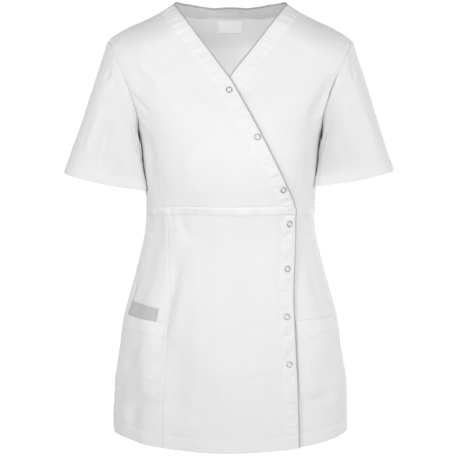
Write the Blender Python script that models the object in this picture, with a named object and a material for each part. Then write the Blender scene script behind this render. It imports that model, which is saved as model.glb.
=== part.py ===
"""Women's wrap-front work blouse, as worn: hollow, with short sleeves.

Metres, +Z up. The front faces -Y and the wearer's right is -X. The origin is
at the middle of the neck, at the height of the high points of the shoulders.

The body of the garment is one smooth form, read by two numbers: `turn`, the
angle round the body from the middle of the front, and `level`, the height of
a point before the shoulders round it over. Every panel is a patch of that
form between its seams, and whatever lies on a panel is made from the same
points, moved out.
"""
import math

import bmesh
import bpy
import numpy as np
from mathutils import Vector

# ---------------------------------------------------------------- cloth
CLOTH = 0.0012            # wall of one ply
SEAM_GAP = 0.0003         # between two pieces that are sewn together
SHOULDER_TRIM = 0.0005    # there the front has more columns than the back
PLY_STEP = CLOTH + SEAM_GAP      # from one ply's middle to the next one's
WRAP_STEP = 0.0032        # the under-front's middle below the over-front's
WRAP_FLAT = 0.009         # past the wrap edge, where it still lies below
WRAP_EASE = 0.016         # and how far it then takes to come up again

# ---------------------------------------------------------------- form
ROOF_RISE = 0.050         # height in which the shoulders round over
SHOULDER_FORWARD = 0.012  # the shoulder seam lies in front of the ridge
NECK_HALF = 0.092         # middle to a high point of the shoulder
SHOULDER_HALF = 0.1940    # middle to the shoulder end of the armhole seam
ARMPIT_LEVEL = -0.200
# level, half width, reach to the front, reach to the back, and how square
# the section is in front and behind (1 is an ellipse, less is squarer)
SECTIONS = (
    (0.050, 0.2220, 0.050, 0.056, 0.90, 0.90),
    (0.000, 0.2220, 0.059, 0.063, 0.90, 0.90),
    (-0.075, 0.2220, 0.086, 0.090, 0.88, 0.88),
    (-0.100, 0.2060, 0.097, 0.097, 0.86, 0.86),
    (-0.120, 0.1920, 0.105, 0.102, 0.84, 0.85),
    (-0.155, 0.1705, 0.120, 0.108, 0.82, 0.84),
    (-0.185, 0.1550, 0.131, 0.110, 0.80, 0.84),
    (-0.212, 0.1470, 0.138, 0.109, 0.80, 0.84),
    (-0.240, 0.1435, 0.141, 0.106, 0.80, 0.85),
    (-0.275, 0.1425, 0.138, 0.100, 0.82, 0.86),
    (-0.320, 0.1390, 0.127, 0.093, 0.85, 0.88),
    (-0.360, 0.1402, 0.119, 0.090, 0.88, 0.90),
    (-0.400, 0.1465, 0.115, 0.092, 0.90, 0.92),
    (-0.440, 0.1555, 0.114, 0.098, 0.90, 0.92),
    (-0.480, 0.1675, 0.115, 0.105, 0.90, 0.92),
    (-0.520, 0.1785, 0.117, 0.112, 0.90, 0.91),
    (-0.570, 0.1865, 0.119, 0.117, 0.90, 0.90),
    (-0.620, 0.1935, 0.121, 0.120, 0.90, 0.90),
    (-0.670, 0.1962, 0.123, 0.120, 0.90, 0.90),
    (-0.730, 0.1970, 0.125, 0.118, 0.90, 0.90),
)
# distance out from the middle, height of the ridge of the shoulders; inside
# the neck it runs on up, where only the hollow of the neck is
RIDGE = ((0.000, 0.048), (0.030, 0.040), (0.060, 0.020), (0.092, 0.000),
         (0.117, -0.0160), (0.145, -0.0300), (0.170, -0.0415),
         (0.190, -0.0535), (0.205, -0.0650), (0.240, -0.1050))
# the largest folds: turn and level of the middle, how far the turn runs on
# from the top end to the bottom end, length, half width, and depth, which
# is negative for a trough
FOLDS = (
    (-58, -0.400, 12, 0.150, 0.022, -0.0030),
    (-20, -0.400, -4, 0.150, 0.030, -0.0020),
    (18, -0.400, 6, 0.140, 0.026, -0.0016),
    (60, -0.390, -14, 0.130, 0.020, -0.0028),
    (-27, -0.610, 8, 0.170, 0.026, -0.0034),
    (8, -0.620, -6, 0.150, 0.034, 0.0022),
    (-62, -0.640, -10, 0.120, 0.026, 0.0030),
    (56, -0.630, 8, 0.130, 0.024, -0.0026),
    (-60, -0.255, 10, 0.090, 0.018, -0.0022),
    (63, -0.250, -10, 0.090, 0.018, -0.0024),
    (145, -0.400, 10, 0.200, 0.026, -0.0034),
    (214, -0.410, -10, 0.200, 0.026, -0.0034),
    (168, -0.600, -8, 0.190, 0.032, 0.0030),
    (196, -0.590, 6, 0.200, 0.030, 0.0026),
    (130, -0.210, -12, 0.110, 0.020, -0.0026),
    (229, -0.215, 12, 0.110, 0.020, -0.0026),
)

# ---------------------------------------------------------------- seams
# front and back of the armhole: distance out from the middle, level
ARMHOLE_FRONT = ((0.1840, -0.091), (0.1690, -0.121), (0.1575, -0.152),
                 (0.1505, -0.174), (0.1485, -0.187))
ARMHOLE_BACK = ((0.1970, -0.0590), (0.1930, -0.077), (0.1845, -0.095),
                (0.1725, -0.121), (0.1615, -0.152), (0.1540, -0.174),
                (0.1505, -0.187))
# level, turn of the side seam in degrees from the middle of the front
SIDE_SEAM = ((-0.200, 90.0), (-0.262, 88.0), (-0.328, 85.0), (-0.416, 78.0),
             (-0.470, 74.0), (-0.520, 75.0), (-0.600, 81.0), (-0.707, 86.0))
# level, x of the middle of the piping on the wrap edge: right neck edge,
# diagonal and snap edge
WRAP_EDGE = ((-0.0120, -0.0905), (-0.0265, -0.0761), (-0.0327, -0.0664),
             (-0.0461, -0.0552), (-0.0711, -0.0356), (-0.0951, -0.0173), (-0.1144, -0.0022),
             (-0.1558, 0.0226), (-0.2035, 0.0491), (-0.2478, 0.0713),
             (-0.2858, 0.0894), (-0.3200, 0.1030), (-0.3500, 0.1046),
             (-0.3925, 0.1047), (-0.4726, 0.1028), (-0.5535, 0.1066),
             (-0.6353, 0.1102), (-0.7200, 0.1122))
# level, x of the same on the under-front: left neck edge, then out of sight
UNDER_EDGE = ((-0.0120, 0.0905), (-0.0264, 0.0755), (-0.0325, 0.0653), (-0.0461, 0.0536),
              (-0.0711, 0.0333), (-0.0951, 0.0133), (-0.1144, -0.0022),
              (-0.1300, -0.0160), (-0.1450, -0.0260), (-0.1600, -0.0280),
              (-0.2035, -0.0030), (-0.2478, 0.0190), (-0.2858, 0.0370),
              (-0.3200, 0.0520), (-0.3925, 0.0550), (-0.4726, 0.0535),
              (-0.5535, 0.0570), (-0.6353, 0.0610), (-0.7200, 0.0640))
# x, level of the back neck edge, from its middle to one side
BACK_NECK = ((0.000, -0.0072), (0.030, -0.0090), (0.060, -0.0125),
             (0.083, -0.0095), (0.0905, 0.0000), (NECK_HALF, 0.0120))
# x, level of the row below it, which is the facing's lower edge in the neck
FACING_LINE = ((0.000, -0.0222), (0.030, -0.0222), (0.058, -0.0246),
               (0.078, -0.0262), (0.095, -0.0210), (0.1070, -0.0100))
BELOW_SHOULDER = ((0.130, -0.0250), (0.160, -0.0395))
# level, x of the right princess seam
PRINCESS = ((-0.3200, -0.0997), (-0.3936, -0.1005), (-0.4901, -0.1015),
            (-0.5778, -0.1066), (-0.6358, -0.1120), (-0.7200, -0.1113))
UNDER_BUST_FRONT, UNDER_BUST_DIP = -0.3185, 0.0105
CHEST_DIP = 0.036         # the line of rows from armpit to armpit sags so far
HEM_SIDE, HEM_FRONT_DIP, HEM_BACK_DIP = -0.707, 0.0115, 0.008

# rows and columns of the patches
ARMHOLE_STEPS, SIDE_STEPS, SKIRT_STEPS = 12, 7, 22
SIDE_FRONT_COLS, FRONT_COLS, TUCKED_COLS, LEFT_COLS = 6, 13, 5, 11
SHOULDER_COLS, BACK_NECK_COLS = 5, 12

# ---------------------------------------------------------------- sleeves
# x and z, at y = 0, of the cuff's outer and inner ends
CUFFS = {"right": ((0.2740, -0.2740), (0.1470, -0.3040)),
         "left": ((0.2690, -0.2700), (0.1470, -0.2970))}
CUFF_DEPTH = 0.051        # half the cuff, front to back
SLEEVE_ROWS = 10
SLEEVE_CROWD = 1.35       # over 1, the rows lie closer at the armhole
SLEEVE_LIFT = 0.0021      # the armpit of the sleeve lies outside the panels

# ---------------------------------------------------------------- trims
PIPING_HALF_WIDTH, PIPING_HALF_RISE, PIPING_SIDES = 0.0015, 0.0010, 6
PIPING_TUCK_LEVEL = -0.132    # where the left neck's piping ends, out of sight
PIPING_END_TRIM = 0.0010  # where two ends meet at the shoulder seam
WRAP_STRIP = 0.0048       # the piping's width and a little more
LABEL_HALF_WIDTH, LABEL_TOP, LABEL_BOTTOM = 0.0205, -0.0275, -0.0470
POCKET_TOP, POCKET_BOTTOM, POCKET_FULLNESS = -0.5075, -0.6300, 0.0014
TAB_TOP, TAB_BOTTOM = -0.4855, -0.5068
TAB_COLS = (0.65, 5.07)   # counted from the side seam
# level of each ring snap, and how far inside the wrap edge it sits
SNAPS = ((-0.1343, 0.0111), (-0.2064, 0.0070), (-0.2919, 0.0070),
         (-0.3489, 0.0087), (-0.4218, 0.0110), (-0.4989, 0.0110),
         (-0.5761, 0.0110))
SNAP_RING_OUTER, SNAP_RING_INNER, SNAP_RING_HIGH = 0.0053, 0.0033, 0.0010
SNAP_CORE_RADIUS, SNAP_CORE_HIGH = 0.0040, 0.0011
SNAP_STAND = 0.0005       # the rings are flat and the cloth under them isn't
SNAP_SIDES = 14


# ================================================================ curves
def smooth_curve(stations, values):
    """A smooth curve through the values, as a function of the station."""
    order = np.argsort(stations)
    station = np.array(stations, float)[order]
    value = np.array(values, float)[order]
    step = np.diff(station)
    rise = np.diff(value) / step
    inner = (rise[:-1] * step[1:] + rise[1:] * step[:-1]) / (step[:-1] + step[1:])
    slope = np.concatenate([[rise[0]], inner, [rise[-1]]])

    def at(where):
        where = np.clip(np.asarray(where, float), station[0], station[-1])
        i = np.clip(np.searchsorted(station, where, side="right") - 1, 0, len(step) - 1)
        t = (where - station[i]) / step[i]
        return (value[i] * (1 + 2 * t) * (1 - t) ** 2
                + value[i + 1] * (3 - 2 * t) * t ** 2
                + (slope[i] * t * (1 - t) ** 2 - slope[i + 1] * (1 - t) * t ** 2) * step[i])
    return at


def column(table, index):
    """One column of a table, as a smooth curve of its first column."""
    return smooth_curve([row[0] for row in table], [row[index] for row in table])


half_width, front_reach, back_reach, front_square, back_square = (
    column(SECTIONS, index) for index in range(1, 6))
ridge_at = column(RIDGE, 1)
wrap_middle, under_middle, princess_x = (column(t, 1) for t in (WRAP_EDGE, UNDER_EDGE,
                                                                PRINCESS))
side_turn = column(SIDE_SEAM, 1)


def wrap_x(level):
    """x of the over-front's cut edge, inside its piping."""
    return wrap_middle(level) - PIPING_HALF_WIDTH


def under_x(level):
    """x of the under-front's cut edge, inside its piping."""
    return under_middle(level) + PIPING_HALF_WIDTH


# ================================================================ the form
def smooth_step(t):
    t = np.clip(t, 0, 1)
    return t * t * (3 - 2 * t)


def fold_rise(turn, level):
    """How far the folds lift the cloth at each point."""
    rise = np.zeros(np.broadcast(turn, level).shape)
    for middle, height, drift, length, half, depth in FOLDS:
        along = (level - height) / (length / 2)
        line = math.radians(middle) - along * math.radians(drift) / 2
        across = (turn - line) * half_width(level) / half
        rise += depth * np.exp(-across ** 2) * smooth_step(1.5 * (1 - np.abs(along)))
    return rise


def bare_form(turn, level):
    """The form without its folds."""
    x = half_width(level) * np.sin(turn)
    below = ridge_at(np.abs(x)) - level
    fall = np.abs(below)
    lean = np.minimum(fall / ROOF_RISE, 1) * math.pi / 2
    z = (ridge_at(np.abs(x)) - ROOF_RISE * (1 - np.cos(lean))
         - np.maximum(fall - ROOF_RISE, 0))
    front = (np.cos(turn) > 0) == (below >= 0)
    reach = np.where(front, -front_reach(z), back_reach(z))
    square = np.where(front, front_square(z), back_square(z))
    return np.stack([x, reach * np.abs(np.cos(turn)) ** square * np.sin(lean), z], axis=-1)


def form_normal(turn, level):
    """The outward direction at each point of the form."""
    across = bare_form(turn + 2e-3, level) - bare_form(turn - 2e-3, level)
    upward = bare_form(turn, level + 2e-4) - bare_form(turn, level - 2e-4)
    normal = np.cross(across, upward)
    return normal / np.linalg.norm(normal, axis=-1, keepdims=True)


def form_point(places, lift=0.0):
    """Points of the form at rows of turn and level, moved out by `lift`."""
    turn, level = places[..., 0], places[..., 1]
    rise = fold_rise(turn, level) + lift
    return bare_form(turn, level) + form_normal(turn, level) * rise[..., None]


def turn_of(x, level):
    """The turn, on the front, of the point that is `x` from the middle."""
    return np.arcsin(np.clip(x / half_width(level), -1, 1))


def shoulder_level(x, forward):
    return ridge_at(np.abs(x)) - forward


# ================================================================ seams
def spaced(places, count):
    """`count` equal steps along a line of places, measured on the form."""
    places = np.array(places, float)
    points = bare_form(places[:, 0], places[:, 1])
    run = np.concatenate([[0], np.cumsum(np.linalg.norm(np.diff(points, axis=0), axis=1))])
    at = np.linspace(0, run[-1], count + 1)
    return np.stack([np.interp(at, run, places[:, k]) for k in (0, 1)], axis=-1)


def smooth_line(rows, steps=12):
    """A smooth line of places through a few rows of turn and level."""
    rows = np.array(rows, float)
    run = np.concatenate([[0], np.cumsum(np.hypot(np.diff(rows[:, 0]) * 0.16,
                                                  np.diff(rows[:, 1])))])
    fine = np.linspace(0, run[-1], steps * len(rows))
    return np.stack([smooth_curve(run, rows[:, k])(fine) for k in (0, 1)], axis=-1)


def edge_line(x_at, top, bottom):
    """The line of an edge whose x is known at each level."""
    level = np.linspace(top, bottom, 160)
    return np.stack([turn_of(x_at(level), level), level], axis=-1)


def mirrored(places):
    return np.stack([-places[:, 0], places[:, 1]], axis=-1)


def armhole_line(back):
    """The left armhole seam, from the shoulder seam down to the armpit."""
    top = shoulder_level(SHOULDER_HALF, -SHOULDER_FORWARD if back else SHOULDER_FORWARD)
    rows = [(SHOULDER_HALF, top), *(ARMHOLE_BACK if back else ARMHOLE_FRONT)]
    places = [(float(turn_of(x, level)), level) for x, level in rows]
    if back:
        places = [(math.pi - turn, level) for turn, level in places]
    return spaced(smooth_line(places + [(math.pi / 2, ARMPIT_LEVEL)]), ARMHOLE_STEPS)


def side_line(top, bottom, count):
    level = np.linspace(top, bottom, 60)
    return spaced(np.stack([np.radians(side_turn(level)), level], axis=-1), count)


def under_bust_level(turn):
    return UNDER_BUST_FRONT - UNDER_BUST_DIP * np.sin(turn) ** 4


def chest_level(turn):
    return ARMPIT_LEVEL - CHEST_DIP * np.cos(turn) ** 2


def hem_level(turn):
    dip = np.where(np.cos(turn) > 0, HEM_FRONT_DIP, HEM_BACK_DIP)
    return HEM_SIDE - dip * np.cos(turn) ** 2


def across_line(level_at, start, end, count):
    """A seam or hem that runs round the body at a known level."""
    turn = np.linspace(start, end, 80)
    return spaced(np.stack([turn, level_at(turn)], axis=-1), count)


def patch(left, right, top, bottom):
    """Places that fill the space between four edges."""
    u = np.linspace(0, 1, len(top))[None, :, None]
    v = np.linspace(0, 1, len(left))[:, None, None]
    corners = ((1 - u) * (1 - v) * top[0] + u * (1 - v) * top[-1]
               + (1 - u) * v * bottom[0] + u * v * bottom[-1])
    return ((1 - u) * left[:, None] + u * right[:, None]
            + (1 - v) * top[None] + v * bottom[None] - corners)


# ================================================================ solids
def material(name, colour, roughness, metallic=0.0):
    made = bpy.data.materials.new(name)
    made.use_nodes = True
    shader = made.node_tree.nodes["Principled BSDF"]
    shader.inputs["Base Color"].default_value = (*colour, 1.0)
    shader.inputs["Roughness"].default_value = roughness
    shader.inputs["Metallic"].default_value = metallic
    return made


def add_object(name, points, faces, finish):
    """One closed object, its faces turned outward."""
    mesh = bpy.data.meshes.new(name)
    shape = bmesh.new()
    corners = [shape.verts.new(Vector(point)) for point in points]
    for face in faces:
        shape.faces.new([corners[index] for index in face])
    bmesh.ops.recalc_face_normals(shape, faces=shape.faces)
    shape.to_mesh(mesh)
    shape.free()
    mesh.materials.append(finish)
    made = bpy.data.objects.new(name, mesh)
    bpy.context.collection.objects.link(made)
    return made


def trimmed(points, allowances):
    """The grid with its top, bottom, left and right edges drawn in a little."""
    top, bottom, left, right = allowances
    points = points.copy()

    def draw_in(edge, inner, amount):
        way = inner - edge
        return edge + way / np.linalg.norm(way, axis=-1, keepdims=True) * amount

    points[0] = draw_in(points[0], points[1], top)
    points[-1] = draw_in(points[-1], points[-2], bottom)
    points[:, 0] = draw_in(points[:, 0], points[:, 1], left)
    points[:, -1] = draw_in(points[:, -1], points[:, -2], right)
    return points


def sheet(name, points, normals, finish, closed=False):
    """A wall of cloth on a grid of middle points; `closed` joins its sides."""
    rows, cols = points.shape[:2]
    skins = [points + normals * CLOTH / 2, points - normals * CLOTH / 2]
    corners = np.concatenate([skin.reshape(-1, 3) for skin in skins])

    def at(skin, i, j):
        return skin * rows * cols + i * cols + j % cols

    spans = range(cols if closed else cols - 1)
    faces = []
    for i in range(rows - 1):
        for j in spans:
            after = (j + 1) % cols
            falling = (np.linalg.norm(points[i, j] - points[i + 1, after])
                       < np.linalg.norm(points[i + 1, j] - points[i, after]))
            for skin in (0, 1):
                ring_of = [at(skin, i, j), at(skin, i, j + 1),
                           at(skin, i + 1, j + 1), at(skin, i + 1, j)]
                a, b, c, d = ring_of if falling else ring_of[1:] + ring_of[:1]
                faces += [[a, b, c], [a, c, d]]
    for j in spans:
        for i in (0, rows - 1):
            faces.append([at(0, i, j), at(0, i, j + 1), at(1, i, j + 1), at(1, i, j)])
    if not closed:
        for i in range(rows - 1):
            for j in (0, cols - 1):
                faces.append([at(0, i, j), at(0, i + 1, j), at(1, i + 1, j), at(1, i, j)])
    return add_object(name, corners, faces, finish)


class Panel:
    """A panel of cloth: a patch of the form, moved out by `lift`."""

    def __init__(self, places, lift=0.0):
        self.places = places
        self.points = form_point(places, np.broadcast_to(lift, places.shape[:2]))
        self.normals = form_normal(places[..., 0], places[..., 1])

    def make(self, name, finish):
        top = SHOULDER_TRIM if name.endswith("bodice") else SEAM_GAP / 2
        trims = (top, SEAM_GAP / 2, SEAM_GAP / 2, SEAM_GAP / 2)
        sheet(name, trimmed(self.points, trims), self.normals, finish)

    def part(self, rows, cols, lift=0.0):
        """What lies on the panel between some of its rows and columns.

        Rows and columns are counted from 0 and may be broken numbers, one
        for the whole line or one for each crossing.
        """
        rows, cols = np.broadcast_arrays(np.asarray(rows, float), np.asarray(cols, float))
        i = np.clip(rows.astype(int), 0, len(self.points) - 2)
        j = np.clip(cols.astype(int), 0, self.points.shape[1] - 2)
        v, u = (rows - i)[..., None], (cols - j)[..., None]

        def between(grid):
            return ((1 - v) * ((1 - u) * grid[i, j] + u * grid[i, j + 1])
                    + v * ((1 - u) * grid[i + 1, j] + u * grid[i + 1, j + 1]))
        normals = between(self.normals)
        normals /= np.linalg.norm(normals, axis=-1, keepdims=True)
        return between(self.points) + normals * np.asarray(lift)[..., None], normals

    def at(self, place):
        """Row and column, as broken numbers, of a place on the panel."""
        row, col = (size / 2 for size in self.places.shape[:2])
        for _ in range(30):
            i = min(max(int(row), 0), self.places.shape[0] - 2)
            j = min(max(int(col), 0), self.places.shape[1] - 2)
            near, down, side, far = (self.places[i, j], self.places[i + 1, j],
                                     self.places[i, j + 1], self.places[i + 1, j + 1])
            v, u = row - i, col - j
            here = ((1 - v) * ((1 - u) * near + u * side) + v * ((1 - u) * down + u * far))
            per_row = (1 - u) * (down - near) + u * (far - side)
            per_col = (1 - v) * (side - near) + v * (far - down)
            step = np.linalg.solve(np.stack([per_row, per_col], axis=1), place - here)
            row, col = row + step[0], col + step[1]
        return row, col


def wrap_drop(places):
    """How far the under-front lies below the form, under the over-front."""
    x = half_width(places[..., 1]) * np.sin(places[..., 0])
    past = (x - wrap_x(places[..., 1]) - WRAP_FLAT) / WRAP_EASE
    return -WRAP_STEP * (1 - smooth_step(past))


def bead(name, edge, inner, finish, drop=0.0):
    """Piping along a panel's edge; `inner` is the panel's next line in."""
    drop = np.broadcast_to(drop, len(edge))
    line = form_point(edge, drop)
    normal = form_normal(edge[:, 0], edge[:, 1])
    outward = np.cross(np.gradient(line, axis=0), normal)
    outward *= np.sign(np.sum(outward * (line - form_point(inner, drop))))
    outward /= np.linalg.norm(outward, axis=1, keepdims=True)
    middle = line + outward * (SEAM_GAP / 2 + PIPING_HALF_WIDTH)
    for end, ahead in ((0, 1), (-1, -2)):
        way = middle[ahead] - middle[end]
        middle[end] += way / np.linalg.norm(way) * PIPING_END_TRIM
    points, faces = [], []
    for i in range(len(edge)):
        for side in range(PIPING_SIDES):
            angle = 2 * math.pi * side / PIPING_SIDES
            points.append(middle[i] + outward[i] * PIPING_HALF_WIDTH * math.cos(angle)
                          + normal[i] * PIPING_HALF_RISE * math.sin(angle))
    for i in range(len(edge) - 1):
        for side in range(PIPING_SIDES):
            after = (side + 1) % PIPING_SIDES
            faces.append([i * PIPING_SIDES + side, i * PIPING_SIDES + after,
                          (i + 1) * PIPING_SIDES + after, (i + 1) * PIPING_SIDES + side])
    faces.append(list(range(PIPING_SIDES)))
    faces.append([(len(edge) - 1) * PIPING_SIDES + side for side in range(PIPING_SIDES)])
    return add_object(name, points, faces, finish)


def ring(name, centre, normal, outer, inner, high, finish):
    """A flat ring, or a disc when it has no inner radius."""
    shape = bmesh.new()
    profile = ([(inner, -1), (outer, -1), (outer, 1), (inner, 1)] if inner
               else [(0, -1), (outer, -1), (outer, 1), (0, 1)])
    rim = [shape.verts.new((radius, 0, side * high / 2)) for radius, side in profile]
    edges = [shape.edges.new((rim[i], rim[i + 1])) for i in range(3)]
    if inner:
        edges.append(shape.edges.new((rim[3], rim[0])))
    bmesh.ops.spin(shape, geom=rim + edges, cent=(0, 0, 0), axis=(0, 0, 1),
                   angle=2 * math.pi, steps=SNAP_SIDES, use_merge=True)
    bmesh.ops.remove_doubles(shape, verts=shape.verts, dist=1e-6)
    bmesh.ops.recalc_face_normals(shape, faces=shape.faces)
    mesh = bpy.data.meshes.new(name)
    shape.to_mesh(mesh)
    shape.free()
    mesh.materials.append(finish)
    made = bpy.data.objects.new(name, mesh)
    made.rotation_euler = Vector(normal).to_track_quat("Z", "Y").to_euler()
    made.location = centre
    bpy.context.collection.objects.link(made)
    return made


# ================================================================ the pieces
class Seams:
    """Every seam line, so that neighbours share their points."""

    def __init__(self):
        self.armhole_front = armhole_line(back=False)
        self.armhole_back = armhole_line(back=True)
        bust_side = UNDER_BUST_FRONT - UNDER_BUST_DIP
        self.side_high = side_line(ARMPIT_LEVEL, bust_side, SIDE_STEPS)
        self.side_low = side_line(bust_side, HEM_SIDE, SKIRT_STEPS)
        self.wrap = self.edge(wrap_x)
        self.under = self.edge(under_x)
        self.princess = self.below_seam(princess_x)
        self.beside_wrap = self.below_seam(lambda level: wrap_x(level) + WRAP_STRIP)

    @staticmethod
    def meets(x_at, level_at, guess):
        """The level where an edge reaches a seam that runs round the body."""
        level = guess
        for _ in range(12):
            level = float(level_at(turn_of(x_at(level), level)))
        return level

    def stretch(self, x_at, start, end, count):
        return spaced(edge_line(x_at, start, end), count)

    def below_seam(self, x_at):
        return self.stretch(x_at, self.meets(x_at, under_bust_level, UNDER_BUST_FRONT),
                            self.meets(x_at, hem_level, HEM_SIDE), SKIRT_STEPS)

    def edge(self, x_at):
        """A front's edge: shoulder to chest, chest to bust and bust to hem."""
        chest = self.meets(x_at, chest_level, ARMPIT_LEVEL)
        bust = self.meets(x_at, under_bust_level, UNDER_BUST_FRONT)
        return (self.stretch(x_at, -SHOULDER_FORWARD, chest, ARMHOLE_STEPS),
                self.stretch(x_at, chest, bust, SIDE_STEPS), self.below_seam(x_at))


def shoulder_line(forward, count):
    """The left shoulder seam, from the neck to the armhole."""
    x = np.linspace(NECK_HALF, SHOULDER_HALF, 40)
    level = shoulder_level(x, forward)
    return spaced(np.stack([turn_of(x, level), level], axis=-1), count)


def behind(rows):
    """Places on the left of the back, from rows of x and level."""
    return [(math.pi - float(turn_of(x, level)), level) for x, level in rows]


def across_back(shoulder, neck):
    """A line over the whole back from its left shoulder and half its neck."""
    neck = spaced(smooth_line(np.concatenate([neck, round_back(neck)[-2::-1]])),
                  BACK_NECK_COLS)
    return np.concatenate([shoulder, neck[1:], round_back(shoulder)[::-1][1:]])


def back_top_line():
    """The back's top edge: left shoulder, neck and right shoulder."""
    shoulder = shoulder_line(-SHOULDER_FORWARD, SHOULDER_COLS)[::-1]
    shoulder[:, 0] = math.pi - shoulder[:, 0]
    return across_back(shoulder, np.array(behind(BACK_NECK[::-1])))


def facing_line(armhole_end):
    """The row below the top edge, which ends at the armhole's first step."""
    rows = [tuple(armhole_end), *behind(BELOW_SHOULDER[::-1] + FACING_LINE[:-2:-1])]
    shoulder = spaced(smooth_line(rows), SHOULDER_COLS)
    return across_back(shoulder, np.array(behind(FACING_LINE[::-1])))


def round_back(places):
    """The same line on the right side of the back, past the half turn."""
    return np.stack([2 * math.pi - places[:, 0], places[:, 1]], axis=-1)


def stacked(upper, lower):
    """Two patches that share a row."""
    return np.concatenate([upper, lower[1:]])


def beside(first, second):
    """Two patches that share a column."""
    return np.concatenate([first, second[:, 1:]], axis=1)


def make_panels(seams, cotton):
    """Every panel of the body, by name, each on its patch of the form."""
    side_at_bust, side_at_hem = seams.side_low[0, 0], seams.side_low[-1, 0]
    right_cols, left_cols = SIDE_FRONT_COLS + FRONT_COLS, TUCKED_COLS + LEFT_COLS

    def round_body(level_at, marks, counts):
        """A line of rows through the turns where other seams meet it."""
        pieces = [across_line(level_at, start, end, count)
                  for start, end, count in zip(marks, marks[1:], counts)]
        return np.concatenate([pieces[0]] + [piece[1:] for piece in pieces[1:]])

    def front(side, armhole, edge, bust, cols):
        """A bodice front, from the shoulder to the under-bust seam."""
        shoulder = shoulder_line(SHOULDER_FORWARD, cols)
        ends = (edge[0][-1, 0], side[0, 0])
        if side[0, 0] < 0:
            shoulder, ends = mirrored(shoulder)[::-1], ends[::-1]
        chest = across_line(chest_level, *ends, cols)
        if side[0, 0] < 0:
            return stacked(patch(armhole, edge[0], shoulder, chest),
                           patch(side, edge[1], chest, bust))
        return stacked(patch(edge[0], armhole, shoulder, chest),
                       patch(edge[1], side, chest, bust))

    bust_right = round_body(under_bust_level,
                            (-side_at_bust, seams.princess[0, 0], seams.wrap[2][0, 0]),
                            (SIDE_FRONT_COLS, FRONT_COLS))
    bust_left = round_body(under_bust_level,
                           (seams.under[2][0, 0], seams.beside_wrap[0, 0], side_at_bust),
                           (TUCKED_COLS, LEFT_COLS))
    hem_right = round_body(hem_level,
                           (-side_at_hem, seams.princess[-1, 0], seams.wrap[2][-1, 0]),
                           (SIDE_FRONT_COLS, FRONT_COLS))
    hem_left = round_body(hem_level,
                          (seams.under[2][-1, 0], seams.beside_wrap[-1, 0], side_at_hem),
                          (TUCKED_COLS, LEFT_COLS))
    side, tuck = SIDE_FRONT_COLS, TUCKED_COLS
    left_bodice = front(seams.side_high, seams.armhole_front, seams.under, bust_left,
                        left_cols)
    left_skirt = beside(
        patch(seams.under[2], seams.beside_wrap, bust_left[:tuck + 1], hem_left[:tuck + 1]),
        patch(seams.beside_wrap, seams.side_low, bust_left[tuck:], hem_left[tuck:]))
    top, facing = back_top_line(), facing_line(seams.armhole_back[1])
    chest = across_line(chest_level, math.pi / 2, 1.5 * math.pi, len(top) - 1)
    neck_end, armhole = seams.armhole_back[:2], seams.armhole_back[1:]
    low_side = np.concatenate([seams.side_high, seams.side_low[1:]])
    panels = {
        "right_front_bodice": Panel(front(mirrored(seams.side_high),
                                          mirrored(seams.armhole_front), seams.wrap,
                                          bust_right, right_cols)),
        "left_front_bodice": Panel(left_bodice, wrap_drop(left_bodice)),
        "right_front_skirt": Panel(patch(seams.princess, seams.wrap[2],
                                         bust_right[side:], hem_right[side:])),
        "right_side_front": Panel(patch(mirrored(seams.side_low), seams.princess,
                                        bust_right[:side + 1], hem_right[:side + 1])),
        "left_front_skirt": Panel(left_skirt, wrap_drop(left_skirt)),
        "back": Panel(stacked(
            stacked(patch(neck_end, round_back(neck_end), top, facing),
                    patch(armhole, round_back(armhole), facing, chest)),
            patch(low_side, round_back(low_side), chest,
                  across_line(hem_level, side_at_hem, 2 * math.pi - side_at_hem,
                              len(top) - 1)))),
    }
    for name, panel in panels.items():
        panel.make(name, cotton)
    return panels


def make_piping(panels, grey):
    over = [panels["right_front_bodice"].places, panels["right_front_skirt"].places[1:]]
    bead("piping_right_front", np.concatenate([grid[:, -1] for grid in over]),
         np.concatenate([grid[:, -2] for grid in over]), grey)
    under = panels["left_front_bodice"].places
    end = int(np.searchsorted(-under[:, 0, 1], -PIPING_TUCK_LEVEL)) + 1
    bead("piping_left_front", under[:end, 0], under[:end, 1], grey,
         wrap_drop(under[:end, 0]))
    back = panels["back"].places[:2, SHOULDER_COLS:-SHOULDER_COLS]
    bead("piping_back_neck", back[0], back[1], grey)


def make_neck_inside(back, cotton, tape):
    """The facing inside the back neck, and the bare label below it."""
    cols = np.arange(SHOULDER_COLS + 1, SHOULDER_COLS + BACK_NECK_COLS)[None]
    points, normals = back.part(np.array([[0], [1]]), cols, -PLY_STEP - SEAM_GAP)
    sheet("back_neck_facing", trimmed(points, (SEAM_GAP,) * 4), normals, cotton)
    middle = SHOULDER_COLS + BACK_NECK_COLS // 2
    top, bottom = (back.at(np.array([math.pi, level]))[0]
                   for level in (LABEL_TOP, LABEL_BOTTOM))
    side = back.at(np.array([math.pi - float(turn_of(LABEL_HALF_WIDTH, LABEL_TOP)),
                             LABEL_TOP]))[1]
    rows = np.array([top, *range(math.ceil(top), math.ceil(bottom)), bottom])[:, None]
    cols = np.array([side, *range(math.ceil(side), 2 * middle - math.ceil(side) + 1),
                     2 * middle - side])[None]
    sheet("neck_label", *back.part(rows, cols, -PLY_STEP), tape)


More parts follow.
